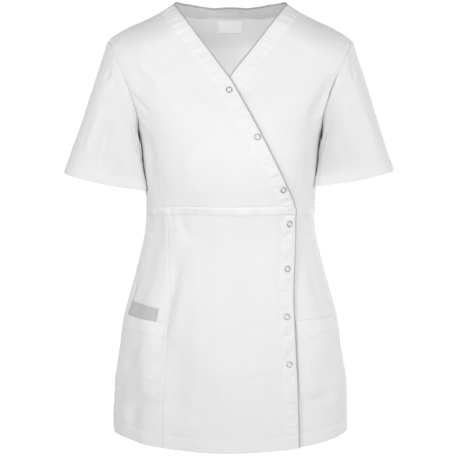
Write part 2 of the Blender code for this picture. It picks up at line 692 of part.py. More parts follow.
def make_pockets(panels, cotton, grey):
    """Both patch pockets, and the pen tab at the right one's mouth."""
    right, left = panels["right_side_front"], panels["left_front_skirt"]
    spans = {
        "pocket_right": (right, [0.12, *range(1, SIDE_FRONT_COLS), SIDE_FRONT_COLS - 0.08]),
        "pocket_left": (left, [*range(TUCKED_COLS, TUCKED_COLS + LEFT_COLS),
                               TUCKED_COLS + LEFT_COLS - 0.12]),
    }
    for name, (panel, cols) in spans.items():
        top, bottom = (panel.at(np.array([panel.places[SKIRT_STEPS // 2, -2, 0], level]))[0]
                       for level in (POCKET_TOP, POCKET_BOTTOM))
        rows = np.array([top, *range(math.ceil(top), math.ceil(bottom)), bottom])[:, None]
        u = np.linspace(0, 1, len(cols))[None]
        slack = (POCKET_FULLNESS * np.sin(math.pi * u)
                 * smooth_step((bottom - rows) / (bottom - top) * 1.6))
        sheet(name, *panel.part(rows, np.array(cols)[None], PLY_STEP + slack), cotton)
    top, bottom = (right.at(np.array([right.places[SKIRT_STEPS // 2, 1, 0], level]))[0]
                   for level in (TAB_TOP, TAB_BOTTOM))
    rows = np.array([top, *range(math.ceil(top), math.ceil(bottom)), bottom])[:, None]
    cols = np.array([TAB_COLS[0], *range(1, SIDE_FRONT_COLS), TAB_COLS[1]])[None]
    sheet("pen_tab", *right.part(rows, cols, PLY_STEP), grey)


def make_snaps(panels, metal):
    """Ring outside, socket and stud between the fronts, ring inside."""
    outside = CLOTH / 2 + SNAP_STAND + SNAP_RING_HIGH / 2
    for number, (level, inset) in enumerate(SNAPS, start=1):
        place = np.array([float(turn_of(wrap_x(level) - inset, level)), level])
        story = "bodice" if level > UNDER_BUST_FRONT else "skirt"
        over, under = (panels[f"{side}_front_{story}"] for side in ("right", "left"))
        top, normal = over.part(*over.at(place))
        low, _ = under.part(*under.at(place))
        ring(f"snap_ring_{number}", top + normal * outside, normal,
             SNAP_RING_OUTER, SNAP_RING_INNER, SNAP_RING_HIGH, metal)
        ring(f"snap_core_{number}", (top + low) / 2, normal,
             SNAP_CORE_RADIUS, 0, SNAP_CORE_HIGH, metal)
        ring(f"snap_back_{number}", low - normal * outside, normal,
             SNAP_RING_OUTER, SNAP_RING_INNER, SNAP_RING_HIGH, metal)


def make_sleeve(side, seams, cotton):
    """A sleeve from the armhole seam down to its cuff."""
    loop = np.concatenate([seams.armhole_front, seams.armhole_back[-2:0:-1]])
    armhole = bare_form(loop[:, 0], loop[:, 1])
    outward = form_normal(loop[:, 0], loop[:, 1])
    count = len(loop)
    # 0 at the shoulder, half a turn at the armpit
    round_ = 2 * math.pi * np.arange(count) / count
    low = (1 - np.cos(round_)) / 2
    start = armhole + outward * (SLEEVE_LIFT * smooth_step(low * 1.3))[:, None]
    leave = np.stack([0.80 - 0.70 * low ** 2, -0.10 * np.sin(round_),
                      -0.60 - 0.40 * low], axis=-1)
    leave /= np.linalg.norm(leave, axis=1, keepdims=True)
    start = start + leave * SEAM_GAP * 1.5
    outer, inner = (np.array([x, 0, z]) for x, z in CUFFS[side])
    centre, across = (outer + inner) / 2, (outer - inner) / 2
    end = (centre + np.cos(round_)[:, None] * across
           - np.sin(round_)[:, None] * np.array([0, CUFF_DEPTH, 0]))
    chord = end - start
    length = np.linalg.norm(chord, axis=1, keepdims=True)
    pull = 0.16 + 0.40 * low[:, None]
    t = np.linspace(0, 1, SLEEVE_ROWS + 1)[:, None, None] ** SLEEVE_CROWD
    points = (start * (2 * t ** 3 - 3 * t ** 2 + 1)
              + leave * length * pull * (t ** 3 - 2 * t ** 2 + t)
              + end * (3 * t ** 2 - 2 * t ** 3)
              + chord * 0.85 * (t ** 3 - t ** 2))
    along = np.gradient(points, axis=0)
    around = np.roll(points, -1, axis=1) - np.roll(points, 1, axis=1)
    normals = np.cross(around, along)
    normals /= np.linalg.norm(normals, axis=-1, keepdims=True)
    flip = np.array([-1 if side == "right" else 1, 1, 1])
    sheet(f"{side}_sleeve", points * flip, normals * flip, cotton, closed=True)


def build():
    for old in list(bpy.data.objects):
        bpy.data.objects.remove(old, do_unlink=True)
    cotton = material("white cotton blend cloth", (0.84, 0.84, 0.85), 0.85)
    grey = material("grey cotton blend cloth", (0.45, 0.46, 0.47), 0.85)
    tape = material("white woven tape", (0.86, 0.86, 0.86), 0.70)
    metal = material("nickel-plated brass", (0.66, 0.67, 0.69), 0.25, 1.0)
    seams = Seams()
    panels = make_panels(seams, cotton)
    make_piping(panels, grey)
    make_neck_inside(panels["back"], cotton, tape)
    make_pockets(panels, cotton, grey)
    make_snaps(panels, metal)
    for side in CUFFS:
        make_sleeve(side, seams, cotton)


build()
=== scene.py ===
"""The cloth, the sewing and the snaps of a women's wrap-front work blouse.

Every panel is a thin shell of cloth on the garment's one smooth form, which
is read by two numbers: `turn`, the angle round the body from the middle of
the front, and `level`, the height of a point before the shoulders round it
over. Seams, creases and puckers move the cloth along the form's own outward
direction, so whatever is sewn on follows the cloth below it.
"""
import math

import bpy
import numpy as np
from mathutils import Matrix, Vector


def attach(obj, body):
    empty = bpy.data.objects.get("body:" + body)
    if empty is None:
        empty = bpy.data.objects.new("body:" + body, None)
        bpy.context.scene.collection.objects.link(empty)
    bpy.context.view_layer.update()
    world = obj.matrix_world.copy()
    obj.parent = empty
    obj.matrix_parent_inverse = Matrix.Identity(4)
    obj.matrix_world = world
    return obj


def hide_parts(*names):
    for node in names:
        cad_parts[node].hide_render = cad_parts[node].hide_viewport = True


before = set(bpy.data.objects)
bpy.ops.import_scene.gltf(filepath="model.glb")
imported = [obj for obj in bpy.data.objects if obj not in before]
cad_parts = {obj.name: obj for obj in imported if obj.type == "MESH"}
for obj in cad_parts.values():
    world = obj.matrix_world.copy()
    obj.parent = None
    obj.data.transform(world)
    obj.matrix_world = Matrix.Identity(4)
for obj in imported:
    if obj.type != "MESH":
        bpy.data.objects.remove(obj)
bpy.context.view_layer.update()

# ================================================================ sizes
CLOTH = 0.0009            # one ply of twill
HEM_PLY = 0.0006          # what a turned-up hem adds inside
PLY_STEP = 0.0015         # from one ply's middle to the next one's
WRAP_STEP = 0.0028        # the under-front lies so far below the over-front
WRAP_FLAT, WRAP_EASE = 0.009, 0.016
ROOF_RISE = 0.050         # height in which the shoulders round over
SHOULDER_FORWARD = 0.012  # the shoulder seam lies in front of the ridge
NECK_HALF, SHOULDER_HALF = 0.092, 0.1940
ARMPIT_LEVEL = -0.200
# level, half width, reach to the front, reach to the back, and how square
# the section is in front and behind
SECTIONS = (
    (0.05, 0.222, 0.05, 0.056, 0.9, 0.9), (0, 0.222, 0.059, 0.063, 0.9, 0.9),
    (-0.075, 0.222, 0.086, 0.09, 0.88, 0.88), (-0.1, 0.206, 0.097, 0.097, 0.86, 0.86),
    (-0.12, 0.192, 0.105, 0.102, 0.84, 0.85), (-0.155, 0.1705, 0.12, 0.108, 0.82, 0.84),
    (-0.185, 0.155, 0.131, 0.11, 0.8, 0.84), (-0.212, 0.147, 0.138, 0.109, 0.8, 0.84),
    (-0.24, 0.1435, 0.141, 0.106, 0.8, 0.85), (-0.275, 0.1425, 0.138, 0.1, 0.82, 0.86),
    (-0.32, 0.139, 0.127, 0.093, 0.85, 0.88), (-0.36, 0.1402, 0.119, 0.09, 0.88, 0.9),
    (-0.4, 0.1465, 0.115, 0.092, 0.9, 0.92), (-0.44, 0.1555, 0.114, 0.098, 0.9, 0.92),
    (-0.48, 0.1675, 0.115, 0.105, 0.9, 0.92), (-0.52, 0.1785, 0.117, 0.112, 0.9, 0.91),
    (-0.57, 0.1865, 0.119, 0.117, 0.9, 0.9), (-0.62, 0.1935, 0.121, 0.12, 0.9, 0.9),
    (-0.67, 0.1962, 0.123, 0.12, 0.9, 0.9), (-0.73, 0.197, 0.125, 0.118, 0.9, 0.9),
)
# distance out from the middle, height of the ridge of the shoulders
RIDGE = (
    (0, 0.048), (0.03, 0.04), (0.06, 0.02), (0.092, 0), (0.117, -0.016), (0.145, -0.03),
    (0.17, -0.0415), (0.19, -0.0535), (0.205, -0.065), (0.24, -0.105),
)
# the largest folds: turn and level of the middle, how far the turn runs on
# from the top end to the bottom end, length, half width and depth
FOLDS = (
    (-58, -0.4, 12, 0.15, 0.022, -0.003), (-20, -0.4, -4, 0.15, 0.03, -0.002),
    (18, -0.4, 6, 0.14, 0.026, -0.0016), (60, -0.39, -14, 0.13, 0.02, -0.0028),
    (-27, -0.61, 8, 0.17, 0.026, -0.0034), (8, -0.62, -6, 0.15, 0.034, 0.0022),
    (-62, -0.64, -10, 0.12, 0.026, 0.003), (56, -0.63, 8, 0.13, 0.024, -0.0026),
    (-60, -0.255, 10, 0.09, 0.018, -0.0022), (63, -0.25, -10, 0.09, 0.018, -0.0024),
    (145, -0.4, 10, 0.2, 0.026, -0.0034), (214, -0.41, -10, 0.2, 0.026, -0.0034),
    (168, -0.6, -8, 0.19, 0.032, 0.003), (196, -0.59, 6, 0.2, 0.03, 0.0026),
    (130, -0.21, -12, 0.11, 0.02, -0.0026), (229, -0.215, 12, 0.11, 0.02, -0.0026),
)
# smaller creases, given one by one: turn and level of the middle, tilt from
# upright in degrees, length, half width and depth in mm, and bend
CREASE_SCALE = 0.0024      # metres for a depth of 1 in the tables of creases
CREASES = (
    # bust darts
    (-50, -0.278, -8, 84, 2.6, -0.5, 0), (49, -0.276, 8, 84, 2.6, -0.5, 0),
    # chest, from the first snap and from the neck down to the armholes
    (-47, -0.125, 55, 76, 11, -0.8, 0.3), (8.5, -0.137, 62, 28, 6, -0.7, 0),
    (58, -0.16, -6, 120, 14, -3, 0.3), (-65, -0.25, 6, 110, 12, -2, 0.3),
    (-57, -0.285, -4, 70, 7, -0.7, 0.2), (-24, -0.235, 34, 110, 15, 1.2, 0.3),
    (-14, -0.16, -42, 90, 9, 0.9, 0.5), (-22, -0.178, -50, 70, 7, -0.7, 0.3),
    (-34, -0.085, -30, 64, 11, -1.5, 0.4), (-41, -0.11, -24, 70, 10, 1.2, 0.3),
    (30, -0.11, 34, 66, 8, -0.8, -0.4), (38, -0.13, 26, 70, 9, 0.7, -0.4),
    (-58, -0.16, -36, 56, 6, -0.9, 0.6), (-64, -0.19, -52, 46, 5, 0.7, 0.5),
    (57, -0.158, 40, 58, 6, -0.9, -0.6), (63, -0.186, 50, 48, 5, 0.7, -0.5),
    # sides of the bust and waist
    (-66, -0.292, 60, 44, 6, -0.8, 0.4), (66, -0.288, -58, 46, 6, -0.9, -0.4),
    (-70, -0.345, 74, 50, 7, -0.9, 0.5), (69, -0.35, -70, 52, 5, -0.9, -0.5),
    (-72, -0.378, 78, 40, 5, 0.7, 0.5), (70, -0.384, -76, 44, 5, 0.7, -0.5),
    (-33, -0.352, -22, 56, 8, -0.9, 0.4), (-8, -0.36, 10, 70, 12, 0.6, 0.3),
    (60, -0.468, -4, 110, 9, -0.7, 0.4), (-72, -0.452, 12, 90, 5, -0.8, 0.4),
    # skirt, left of the middle, down to the hem
    (-37, -0.48, 3, 200, 11, -3, 0.1), (-64, -0.61, 8, 160, 24, -1.7, 0.2),
    (50, -0.638, 78, 66, 11, -1.1, 0.3), (-29, -0.5, 3, 130, 11, 0.8, 0.2),
    (-52, -0.655, 40, 80, 14, -2.2, 0.5), (-44, -0.6, 34, 60, 11, 1.4, 0.4),
    (-22, -0.676, 62, 58, 10, 1.4, 0.5), (-14, -0.64, 20, 110, 14, -1.7, 0.3),
    (13, -0.596, 55, 24, 5, -1.1, 0.2), (16, -0.56, -12, 90, 10, 0.6, 0.3),
    (2, -0.5, 4, 200, 18, -1.4, 0.2), (44, -0.655, -28, 80, 9, -0.9, 0.4),
    # under the arms, where the sides reach the sleeves
    (-84, -0.225, 0, 150, 20, 0.9, 0), (84, -0.225, 0, 150, 20, 0.8, 0),
    # the back
    (150, -0.3, -68, 80, 7, -1, 0.5), (208, -0.306, 66, 84, 7, -1, 0.5),
    (160, -0.345, -74, 70, 6, 0.8, 0.5), (199, -0.35, 72, 66, 6, 0.8, 0.5),
    (122, -0.15, 30, 70, 7, -0.9, 0.5), (238, -0.148, -30, 74, 7, -0.9, -0.5),
    (133, -0.12, 26, 70, 8, 0.8, 0.4), (227, -0.124, -28, 66, 8, 0.8, -0.4),
    (112, -0.36, 70, 50, 5, -0.9, 0.5), (250, -0.366, -70, 54, 5, -0.9, 0.5),
    (120, -0.56, -12, 120, 10, -1.2, 0.4), (241, -0.57, 12, 126, 10, -1.2, 0.4),
    (176, -0.48, 3, 190, 18, -1.9, 0.3), (171, -0.24, 8, 120, 16, 1.6, 0.3),
    (191, -0.235, -6, 120, 13, -0.7, 0.3), (152, -0.66, 14, 70, 10, -1, 0.4),
    (211, -0.655, -16, 76, 10, -1, 0.4),
)
# the same on the sleeves: turn from the shoulder (90 is the front), distance
# from the armhole, tilt, length, half width and depth in mm, bend
SLEEVE_CREASES = {
    "right": (
        (80, 0.105, 4, 100, 11, -2.9, 0.3), (60, 0.035, -20, 50, 9, -0.8, 0.3),
        (55, 0.11, 2, 96, 10, 1.2, 0.4), (104, 0.115, 8, 84, 8, 1, -0.4),
        (40, 0.03, -30, 30, 6, -1.1, 0.4), (118, 0.052, 34, 52, 6, -1.4, 0.4),
        (138, 0.04, 40, 44, 5, 1, 0.3), (150, 0.075, 52, 46, 5, -1.2, 0.4),
        (262, 0.105, -6, 92, 9, -1.8, 0.5), (300, 0.09, 5, 80, 10, 1.2, 0.4),
        (228, 0.048, -36, 52, 6, -1.3, 0.4), (205, 0.07, -50, 44, 5, -1, 0.4),
        (180, 0.11, 0, 190, 36, 1.9, 0),
    ),
    "left": (
        (66, 0.06, -62, 30, 5, -1.1, 0.4), (101, 0.085, -8, 130, 15, -2.6, 0.2),
        (48, 0.105, -3, 88, 10, 1, 0.4), (128, 0.1, -6, 78, 9, -0.9, 0.5),
        (36, 0.026, 36, 34, 6, -1.1, 0.4), (124, 0.05, 36, 50, 6, -1.5, 0.4),
        (142, 0.042, 44, 42, 5, 1, 0.3), (154, 0.078, 56, 44, 5, -1.1, 0.4),
        (258, 0.1, 6, 90, 9, -1.6, 0.5), (304, 0.092, -5, 78, 10, 1.1, 0.4),
        (230, 0.05, -38, 50, 6, -1.3, 0.4), (206, 0.072, -52, 46, 5, -1, 0.4),
        (180, 0.11, 0, 200, 36, 2.2, 0),
    ),
}
# creases on the pockets, as on the body
POCKET_CREASES = {
    "right": (
        (-54, -0.545, 24, 56, 7, -0.9, 0.5), (-62, -0.58, 30, 60, 9, -1.1, 0.5),
        (-44, -0.6, -60, 36, 5, 0.7, 0.3), (-48, -0.525, 80, 40, 5, 0.6, 0.3),
    ),
    "left": (
        (45, -0.545, 66, 44, 6, -0.9, 0.5), (52, -0.528, 72, 46, 5, 0.8, 0.5),
        (60, -0.59, -20, 60, 13, -0.7, 0.4), (41, -0.585, 20, 50, 6, 0.7, 0.4),
    ),
}
# creases across the placket, between the snaps: level, inside the wrap edge,
# tilt, length, half width and depth
PLACKET_CREASES = (
    (-0.162, 0.013, 58, 20, 3, -0.55), (-0.18, 0.012, 52, 18, 3, 0.4),
    (-0.233, 0.012, 56, 20, 3, -0.55), (-0.25, 0.013, 60, 18, 2.8, -0.5),
    (-0.266, 0.011, 58, 16, 2.6, 0.45), (-0.335, 0.012, 78, 18, 3, -0.5),
    (-0.368, 0.012, 84, 18, 3, -0.6), (-0.39, 0.013, 96, 20, 3.2, 0.45),
    (-0.408, 0.012, 86, 16, 2.8, -0.5), (-0.44, 0.012, 94, 18, 3, 0.5),
    (-0.46, 0.012, 86, 22, 3.6, -0.8), (-0.488, 0.013, 98, 20, 3, -0.6),
    (-0.513, 0.012, 84, 18, 2.8, 0.45), (-0.53, 0.012, 92, 22, 3.6, -0.8),
    (-0.548, 0.012, 82, 18, 3, 0.45), (-0.564, 0.013, 96, 20, 3, -0.7),
    (-0.6, 0.012, 88, 20, 3.4, -0.55), (-0.635, 0.012, 94, 20, 3.6, 0.45),
    (-0.67, 0.012, 86, 18, 3.4, -0.5),
)

# ---------------------------------------------------------------- seams
# x, level of the armhole seams, from below the shoulder down
ARMHOLE_FRONT = (
    (0.184, -0.091), (0.169, -0.121), (0.1575, -0.152), (0.1505, -0.174), (0.1485, -0.187),
)
ARMHOLE_BACK = (
    (0.197, -0.059), (0.193, -0.077), (0.1845, -0.095), (0.1725, -0.121), (0.1615, -0.152),
    (0.154, -0.174), (0.1505, -0.187),
)
# level, turn of the side seam
SIDE_SEAM = (
    (-0.2, 90), (-0.262, 88), (-0.328, 85), (-0.416, 78), (-0.47, 74), (-0.52, 75), (-0.6, 81),
    (-0.707, 86),
)
# level, x of the middle of the piping on the wrap edge and on the under-front
WRAP_EDGE = (
    (-0.012, -0.0905), (-0.0265, -0.0761), (-0.0327, -0.0664), (-0.0461, -0.0552),
    (-0.0711, -0.0356), (-0.0951, -0.0173), (-0.1144, -0.0022), (-0.1558, 0.0226),
    (-0.2035, 0.0491), (-0.2478, 0.0713), (-0.2858, 0.0894), (-0.32, 0.103), (-0.35, 0.1046),
    (-0.3925, 0.1047), (-0.4726, 0.1028), (-0.5535, 0.1066), (-0.6353, 0.1102), (-0.72, 0.1122),
)
UNDER_EDGE = (
    (-0.012, 0.0905), (-0.0264, 0.0755), (-0.0325, 0.0653), (-0.0461, 0.0536), (-0.0711, 0.0333),
    (-0.0951, 0.0133), (-0.1144, -0.0022), (-0.13, -0.016), (-0.145, -0.026), (-0.16, -0.028),
    (-0.2035, -0.003), (-0.2478, 0.019), (-0.2858, 0.037), (-0.32, 0.052), (-0.3925, 0.055),
    (-0.4726, 0.0535), (-0.5535, 0.057), (-0.6353, 0.061), (-0.72, 0.064),
)
# x, level: the back neck edge and the lower edge of its facing
BACK_NECK = (
    (0, -0.0072), (0.03, -0.009), (0.06, -0.0125), (0.083, -0.0095), (0.0905, 0),
    (NECK_HALF, 0.012),
)
FACING_LINE = (
    (0, -0.0222), (0.03, -0.0222), (0.058, -0.0246), (0.078, -0.0262), (0.095, -0.021),
    (0.107, -0.01),
)
# x, level of the row of the back that runs on from the facing to the armhole
BELOW_SHOULDER = ((0.13, -0.025), (0.16, -0.0395))
# level, x of the princess seam
PRINCESS = (
    (-0.32, -0.0997), (-0.3936, -0.1005), (-0.4901, -0.1015), (-0.5778, -0.1066),
    (-0.6358, -0.112), (-0.72, -0.1113),
)
UNDER_BUST_FRONT, UNDER_BUST_DIP, CHEST_DIP = -0.3185, 0.0105, 0.036
HEM_SIDE, HEM_FRONT_DIP, HEM_BACK_DIP = -0.707, 0.0115, 0.008

# ---------------------------------------------------------------- sewing
SEAM_DIP, SEAM_HALF = 0.00065, 0.0016     # the groove where two panels meet
# how high the puckers stand beside a seam, the under-bust seam, a hem and a
# cuff, and the gathers and soft upright folds that hang from the waist
SEAM_PUCKER, BUST_PUCKER, HEM_PUCKER, CUFF_PUCKER = 0.00055, 0.00095, 0.0003, 0.00034
GATHER, UPRIGHT_FOLD, FOLDS_FROM = 0.0019, 0.0019, -0.36
NECK_WRINKLE = 0.0016     # in the facing inside the back neck
SNAP_DRAW, SNAP_REACH = 0.00085, 0.0075   # the cloth drawn in around a snap
FACING_DEEP = 0.0245      # neck edge and wrap edge are faced so far in
HEM_DEEP = 0.0220         # hem edge to its stitches
CUFF_HEM_DEEP = 0.0180
BAND_DEEP = 0.0125        # the seam allowance pressed down below the bust
MOUTH_DEEP = 0.0250       # pocket mouth to its stitches
EDGE_STITCH = 0.0022      # stitches beside a sewn edge
STITCH_LENGTH, STITCH_GAP, THREAD = 0.0026, 0.0007, 0.00042
STITCH_LIFT = CLOTH * 0.55      # from the cloth's middle to a stitch's
ON_PANEL = 0.0024         # a line this near a panel's grid lies on it
FACING_PUCKER = {"over": 0.0012, "under": 0.0009}
# metres for a radian of turn, about, where lengths run round the garment
BUST_GIRTH, HEM_GIRTH, NECK_GIRTH, SLEEVE_GIRTH, CUFF_GIRTH = 0.14, 0.17, 0.22, 0.078, 0.06
NEAR_LINE, LINE_SPACING = 0.04, 0.0022    # search round a line, step along it
PIPING_HALF_WIDTH, PIPING_SIDES = 0.0015, 12
BEAD_HALF_WIDTH, BEAD_HALF_RISE = 0.00125, 0.0009
PIPING_TUCK_LEVEL = -0.140
LABEL_HALF_WIDTH, LABEL_TOP, LABEL_BOTTOM = 0.0205, -0.0262, -0.0470
POCKET_TOP, POCKET_BOTTOM, POCKET_WIDTH, POCKET_FULLNESS = -0.5075, -0.6300, 0.085, 0.0018
# the pen tab's ends, turn and level of their tops, and its height and width
TAB_TURNS, TAB_TOPS, TAB_HIGH, TAB_WIDTH = (-71.5, -43.2), (-0.4838, -0.4873), 0.0215, 0.060
# level of each ring snap, and how far inside the wrap edge it sits
SNAPS = (
    (-0.1343, 0.0111), (-0.2064, 0.007), (-0.2919, 0.007), (-0.3489, 0.0087), (-0.4218, 0.011),
    (-0.4989, 0.011), (-0.5761, 0.011),
)
RING_MIDDLE, RING_THICK, RING_HIGH = 0.0044, 0.0017, 0.0012
# x and z of the cuff's outer and inner ends, and half its depth
CUFFS = {"right": ((0.2740, -0.2740), (0.1470, -0.3040)),
         "left": ((0.2690, -0.2700), (0.1470, -0.2970))}
CUFF_DEPTH, CUFF_SQUARE = 0.051, 0.70
# the cuff is squarer and fuller at its front corner, beside the body, and from
# the armpit down the sleeve keeps so far clear of the body's cloth
CUFF_CORNER, CUFF_SHIFT = 0.50, (-0.0115, -0.006, 0.003)
FREE_LEVEL, CLEAR_OF_BODY = -0.184, 0.0014
# how far the cloth takes its painted shade, a darker colour standing in for shadow:
# inside the back, from a level up, inside and outside the sleeves, and in the crook of each
BACK_PAINTED_SHADE, PAINTED_SHADE_FROM = 0.50, -0.085
SLEEVE_PAINTED_SHADE, OUTER_PAINTED_SHADE, CROOK_PAINTED_SHADE = 0.13, 0.12, {"right": 0.12, "left": 0.42}

# rows and columns of the shells, 2 to 3 mm apart and closer at the seams
ARMHOLE_ROWS, SIDE_ROWS, SKIRT_ROWS, TOP_ROWS = 64, 46, 150, 8
BODICE_ROWS = 112, 84      # beside the armhole, and below it
BODICE_COLS, SKIRT_COLS, SIDE_FRONT_COLS = 92, 72, 40
SHOULDER_COLS, BACK_NECK_COLS = 34, 56
SLEEVE_AROUND, SLEEVE_ROWS = 176, 76
POCKET_ROWS, POCKET_COLS = 55, 54
WAVE_SCALE = 0.314        # one wave of the wave texture to one unit of its map
TWILL_SLANT = math.radians(28)
SLUBS = (900, 160, 1)     # to the metre: thick places 1.1 mm wide and 6 mm long
CLOUDS, PLIES, GRAIN = 26, 2500, 900     # 38 mm, 0.4 mm and 1.1 mm across
TAPE_RIB = 0.0005


# ================================================================ curves
def unit(vectors):
    return vectors / np.linalg.norm(vectors, axis=-1, keepdims=True)


def between(one, other, t):
    return one * (1 - t) + other * t


def joined(first, *others):
    """Lines or grids, each starting where the last one ends, as one."""
    return np.concatenate([first, *(other[1:] for other in others)])


def run_along(points, axis=0):
    """The length so far, along each row or column of a grid of points."""
    step = np.linalg.norm(np.diff(points, axis=axis), axis=-1)
    return np.concatenate([np.zeros_like(step.take([0], axis=axis)),
                           np.cumsum(step, axis=axis)], axis=axis)


def smooth_curve(stations, values):
    """A smooth curve through the values, as a function of the station."""
    order = np.argsort(stations)
    station = np.array(stations, float)[order]
    value = np.array(values, float)[order]
    step = np.diff(station)
    rise = np.diff(value) / step
    inner = (rise[:-1] * step[1:] + rise[1:] * step[:-1]) / (step[:-1] + step[1:])
    slope = np.concatenate([[rise[0]], inner, [rise[-1]]])

    def at(where):
        where = np.clip(np.asarray(where, float), station[0], station[-1])
        i = np.clip(np.searchsorted(station, where, side="right") - 1, 0, len(step) - 1)
        t = (where - station[i]) / step[i]
        return (value[i] * (1 + 2 * t) * (1 - t) ** 2
                + value[i + 1] * (3 - 2 * t) * t ** 2
                + (slope[i] * t * (1 - t) ** 2 - slope[i + 1] * (1 - t) * t ** 2) * step[i])
    return at


def column(table, index):
    """One column of a table, as a smooth curve of its first column."""
    return smooth_curve([row[0] for row in table], [row[index] for row in table])


half_width, front_reach, back_reach, front_square, back_square = (
    column(SECTIONS, index) for index in range(1, 6))
ridge_at, princess_x, side_turn, wrap_middle, under_middle = (
    column(table, 1) for table in (RIDGE, PRINCESS, SIDE_SEAM, WRAP_EDGE, UNDER_EDGE))


def wrap_x(level):
    """x of the over-front's cut edge, inside its piping."""
    return wrap_middle(level) - PIPING_HALF_WIDTH


def under_x(level):
    return under_middle(level) + PIPING_HALF_WIDTH


def smooth_step(t):
    t = np.clip(t, 0, 1)
    return t * t * (3 - 2 * t)


def hump(distance, half):
    return np.exp(-(distance / half) ** 2)


def uneven(at, seed):
    """An uneven rise and fall along a line, between -1 and 1."""
    values = np.random.default_rng(seed).uniform(-1, 1, 997)
    whole = np.floor(at).astype(int)
    return between(values[whole % 997], values[(whole + 1) % 997], smooth_step(at - whole))


def swell(points, span, seed):
    """Low swells of the cloth, about `span` from crest to crest."""
    chance = np.random.default_rng(seed)
    total = 0
    for _ in range(12):
        way = chance.normal(size=3)
        way *= 2 * math.pi / (span * chance.uniform(0.7, 1.6) * np.linalg.norm(way))
        total = total + np.sin(points @ way + chance.uniform(0, 2 * math.pi))
    return total / 4


# ================================================================ the form
def place(turn, level):
    """Places on the form, from a turn and a level for each."""
    return np.stack(np.broadcast_arrays(turn, level), axis=-1)


def parts(places):
    return places[..., 0], places[..., 1]


def bare_form(places):
    """The form without folds, at places of turn and level."""
    turn, level = parts(np.asarray(places, float))
    x = half_width(level) * np.sin(turn)
    ridge = ridge_at(np.abs(x))
    below = ridge - level
    fall = np.abs(below)
    lean = np.minimum(fall / ROOF_RISE, 1) * math.pi / 2
    z = ridge - ROOF_RISE * (1 - np.cos(lean)) - np.maximum(fall - ROOF_RISE, 0)
    front = (np.cos(turn) > 0) == (below >= 0)
    reach = np.where(front, -front_reach(z), back_reach(z))
    square = np.where(front, front_square(z), back_square(z))
    return np.stack([x, reach * np.abs(np.cos(turn)) ** square * np.sin(lean), z], axis=-1)


def form_ways(places):
    """How a point of the form moves per unit of turn and of level."""
    return [(bare_form(places + step) - bare_form(places - step)) / (2 * step.sum())
            for step in np.diag((2e-3, 2e-4))]


def form_normal(places):
    return unit(np.cross(*form_ways(places)))


def fold_rise(turn, level):
    """How far the largest folds lift the cloth."""
    rise = 0
    for middle, height, drift, length, half, depth in FOLDS:
        along = (level - height) / (length / 2)
        line = math.radians(middle) - along * math.radians(drift) / 2
        across = (turn - line) * half_width(level) / half
        rise = rise + depth * hump(across, 1) * smooth_step(1.5 * (1 - np.abs(along)))
    return rise


def crease_rise(rows, turn, level, girth=None):
    """Creases from a table; `girth` is the metres per radian of turn."""
    rise = 0
    for middle, height, tilt, length, half, depth, bend in rows:
        middle, tilt = math.radians(middle), math.radians(tilt)
        away = (turn - middle + math.pi) % (2 * math.pi) - math.pi
        away = away * (girth or float(np.linalg.norm(form_ways((middle, height))[0])))
        up = level - height
        along = (up * math.cos(tilt) + away * math.sin(tilt)) / (length * 5e-4)
        across = ((away * math.cos(tilt) - up * math.sin(tilt)) / (half * 1e-3)
                  - bend * along ** 2)
        rise = rise + (depth * CREASE_SCALE * hump(across, 1)
                       * smooth_step(1.4 * (1 - np.abs(along))))
    return rise


def turn_of(x, level):
    """The turn, on the front, of the point that is `x` from the middle."""
    return np.arcsin(np.clip(x / half_width(level), -1, 1))


# ================================================================ seam lines
def spread(count, start=True, end=True):
    """Steps from 0 to 1 that lie closer together at a seam."""
    t = np.linspace(0, 1, count + 1)
    if start and end:
        return t - 0.6 * np.sin(2 * math.pi * t) / (2 * math.pi)
    if start or end:
        return t + (-0.6 if start else 0.6) * np.sin(math.pi * t) / math.pi
    return t


def spaced(places, steps):
    """Places along a line at steps of its length, or at a number of even ones."""
    steps = np.linspace(0, 1, steps) if isinstance(steps, int) else steps
    places = np.array(places, float)
    run = run_along(bare_form(places))
    return place(*(np.interp(steps * run[-1], run, values) for values in places.T))


def smooth_line(rows):
    rows = np.array(rows, float)
    run = run_along(rows * (0.16, 1))      # a radian of turn is about 0.16 m
    fine = np.linspace(0, run[-1], 30 * len(rows))
    return place(*(smooth_curve(run, values)(fine) for values in rows.T))


def on_left(rows, back=False):
    """Places on the left of the front or back, from rows of x and level."""
    x, level = np.array(rows, float).T
    turn = turn_of(x, level)
    return place(math.pi - turn if back else turn, level)


def edge_line(x_at, top, bottom):
    level = np.linspace(top, bottom, 400)
    return place(turn_of(x_at(level), level), level)


def mirrored(places):
    return places * (-1, 1)


def round_back(places):
    """The same line on the right side of the back."""
    return mirrored(places) + (2 * math.pi, 0)


def shoulder_line(back=False):
    """The left shoulder seam, from the neck out, on the front or the back."""
    x = np.linspace(NECK_HALF, SHOULDER_HALF, 120)
    level = ridge_at(x) + (SHOULDER_FORWARD if back else -SHOULDER_FORWARD)
    return on_left(np.stack([x, level], axis=-1), back)


def armhole_line(back):
    """The left armhole seam, from the shoulder seam down to the armpit."""
    rows = ARMHOLE_BACK if back else ARMHOLE_FRONT
    return smooth_line([shoulder_line(back)[-1], *on_left(rows, back),
                        (math.pi / 2, ARMPIT_LEVEL)])


def side_line(top, bottom):
    level = np.linspace(top, bottom, 200)
    return place(np.radians(side_turn(level)), level)


def under_bust_level(turn):
    return UNDER_BUST_FRONT - UNDER_BUST_DIP * np.sin(turn) ** 4


def chest_level(turn):
    return ARMPIT_LEVEL - CHEST_DIP * np.cos(turn) ** 2


def hem_level(turn):
    dip = np.where(np.cos(turn) > 0, HEM_FRONT_DIP, HEM_BACK_DIP)
    return HEM_SIDE - dip * np.cos(turn) ** 2


def level_line(level_at, start, end, offset=0.0, count=300):
    turn = np.linspace(start, end, count)
    return place(turn, level_at(turn) + offset)


def across_line(level_at, start, end, steps):
    return spaced(level_line(level_at, start, end, count=240), steps)


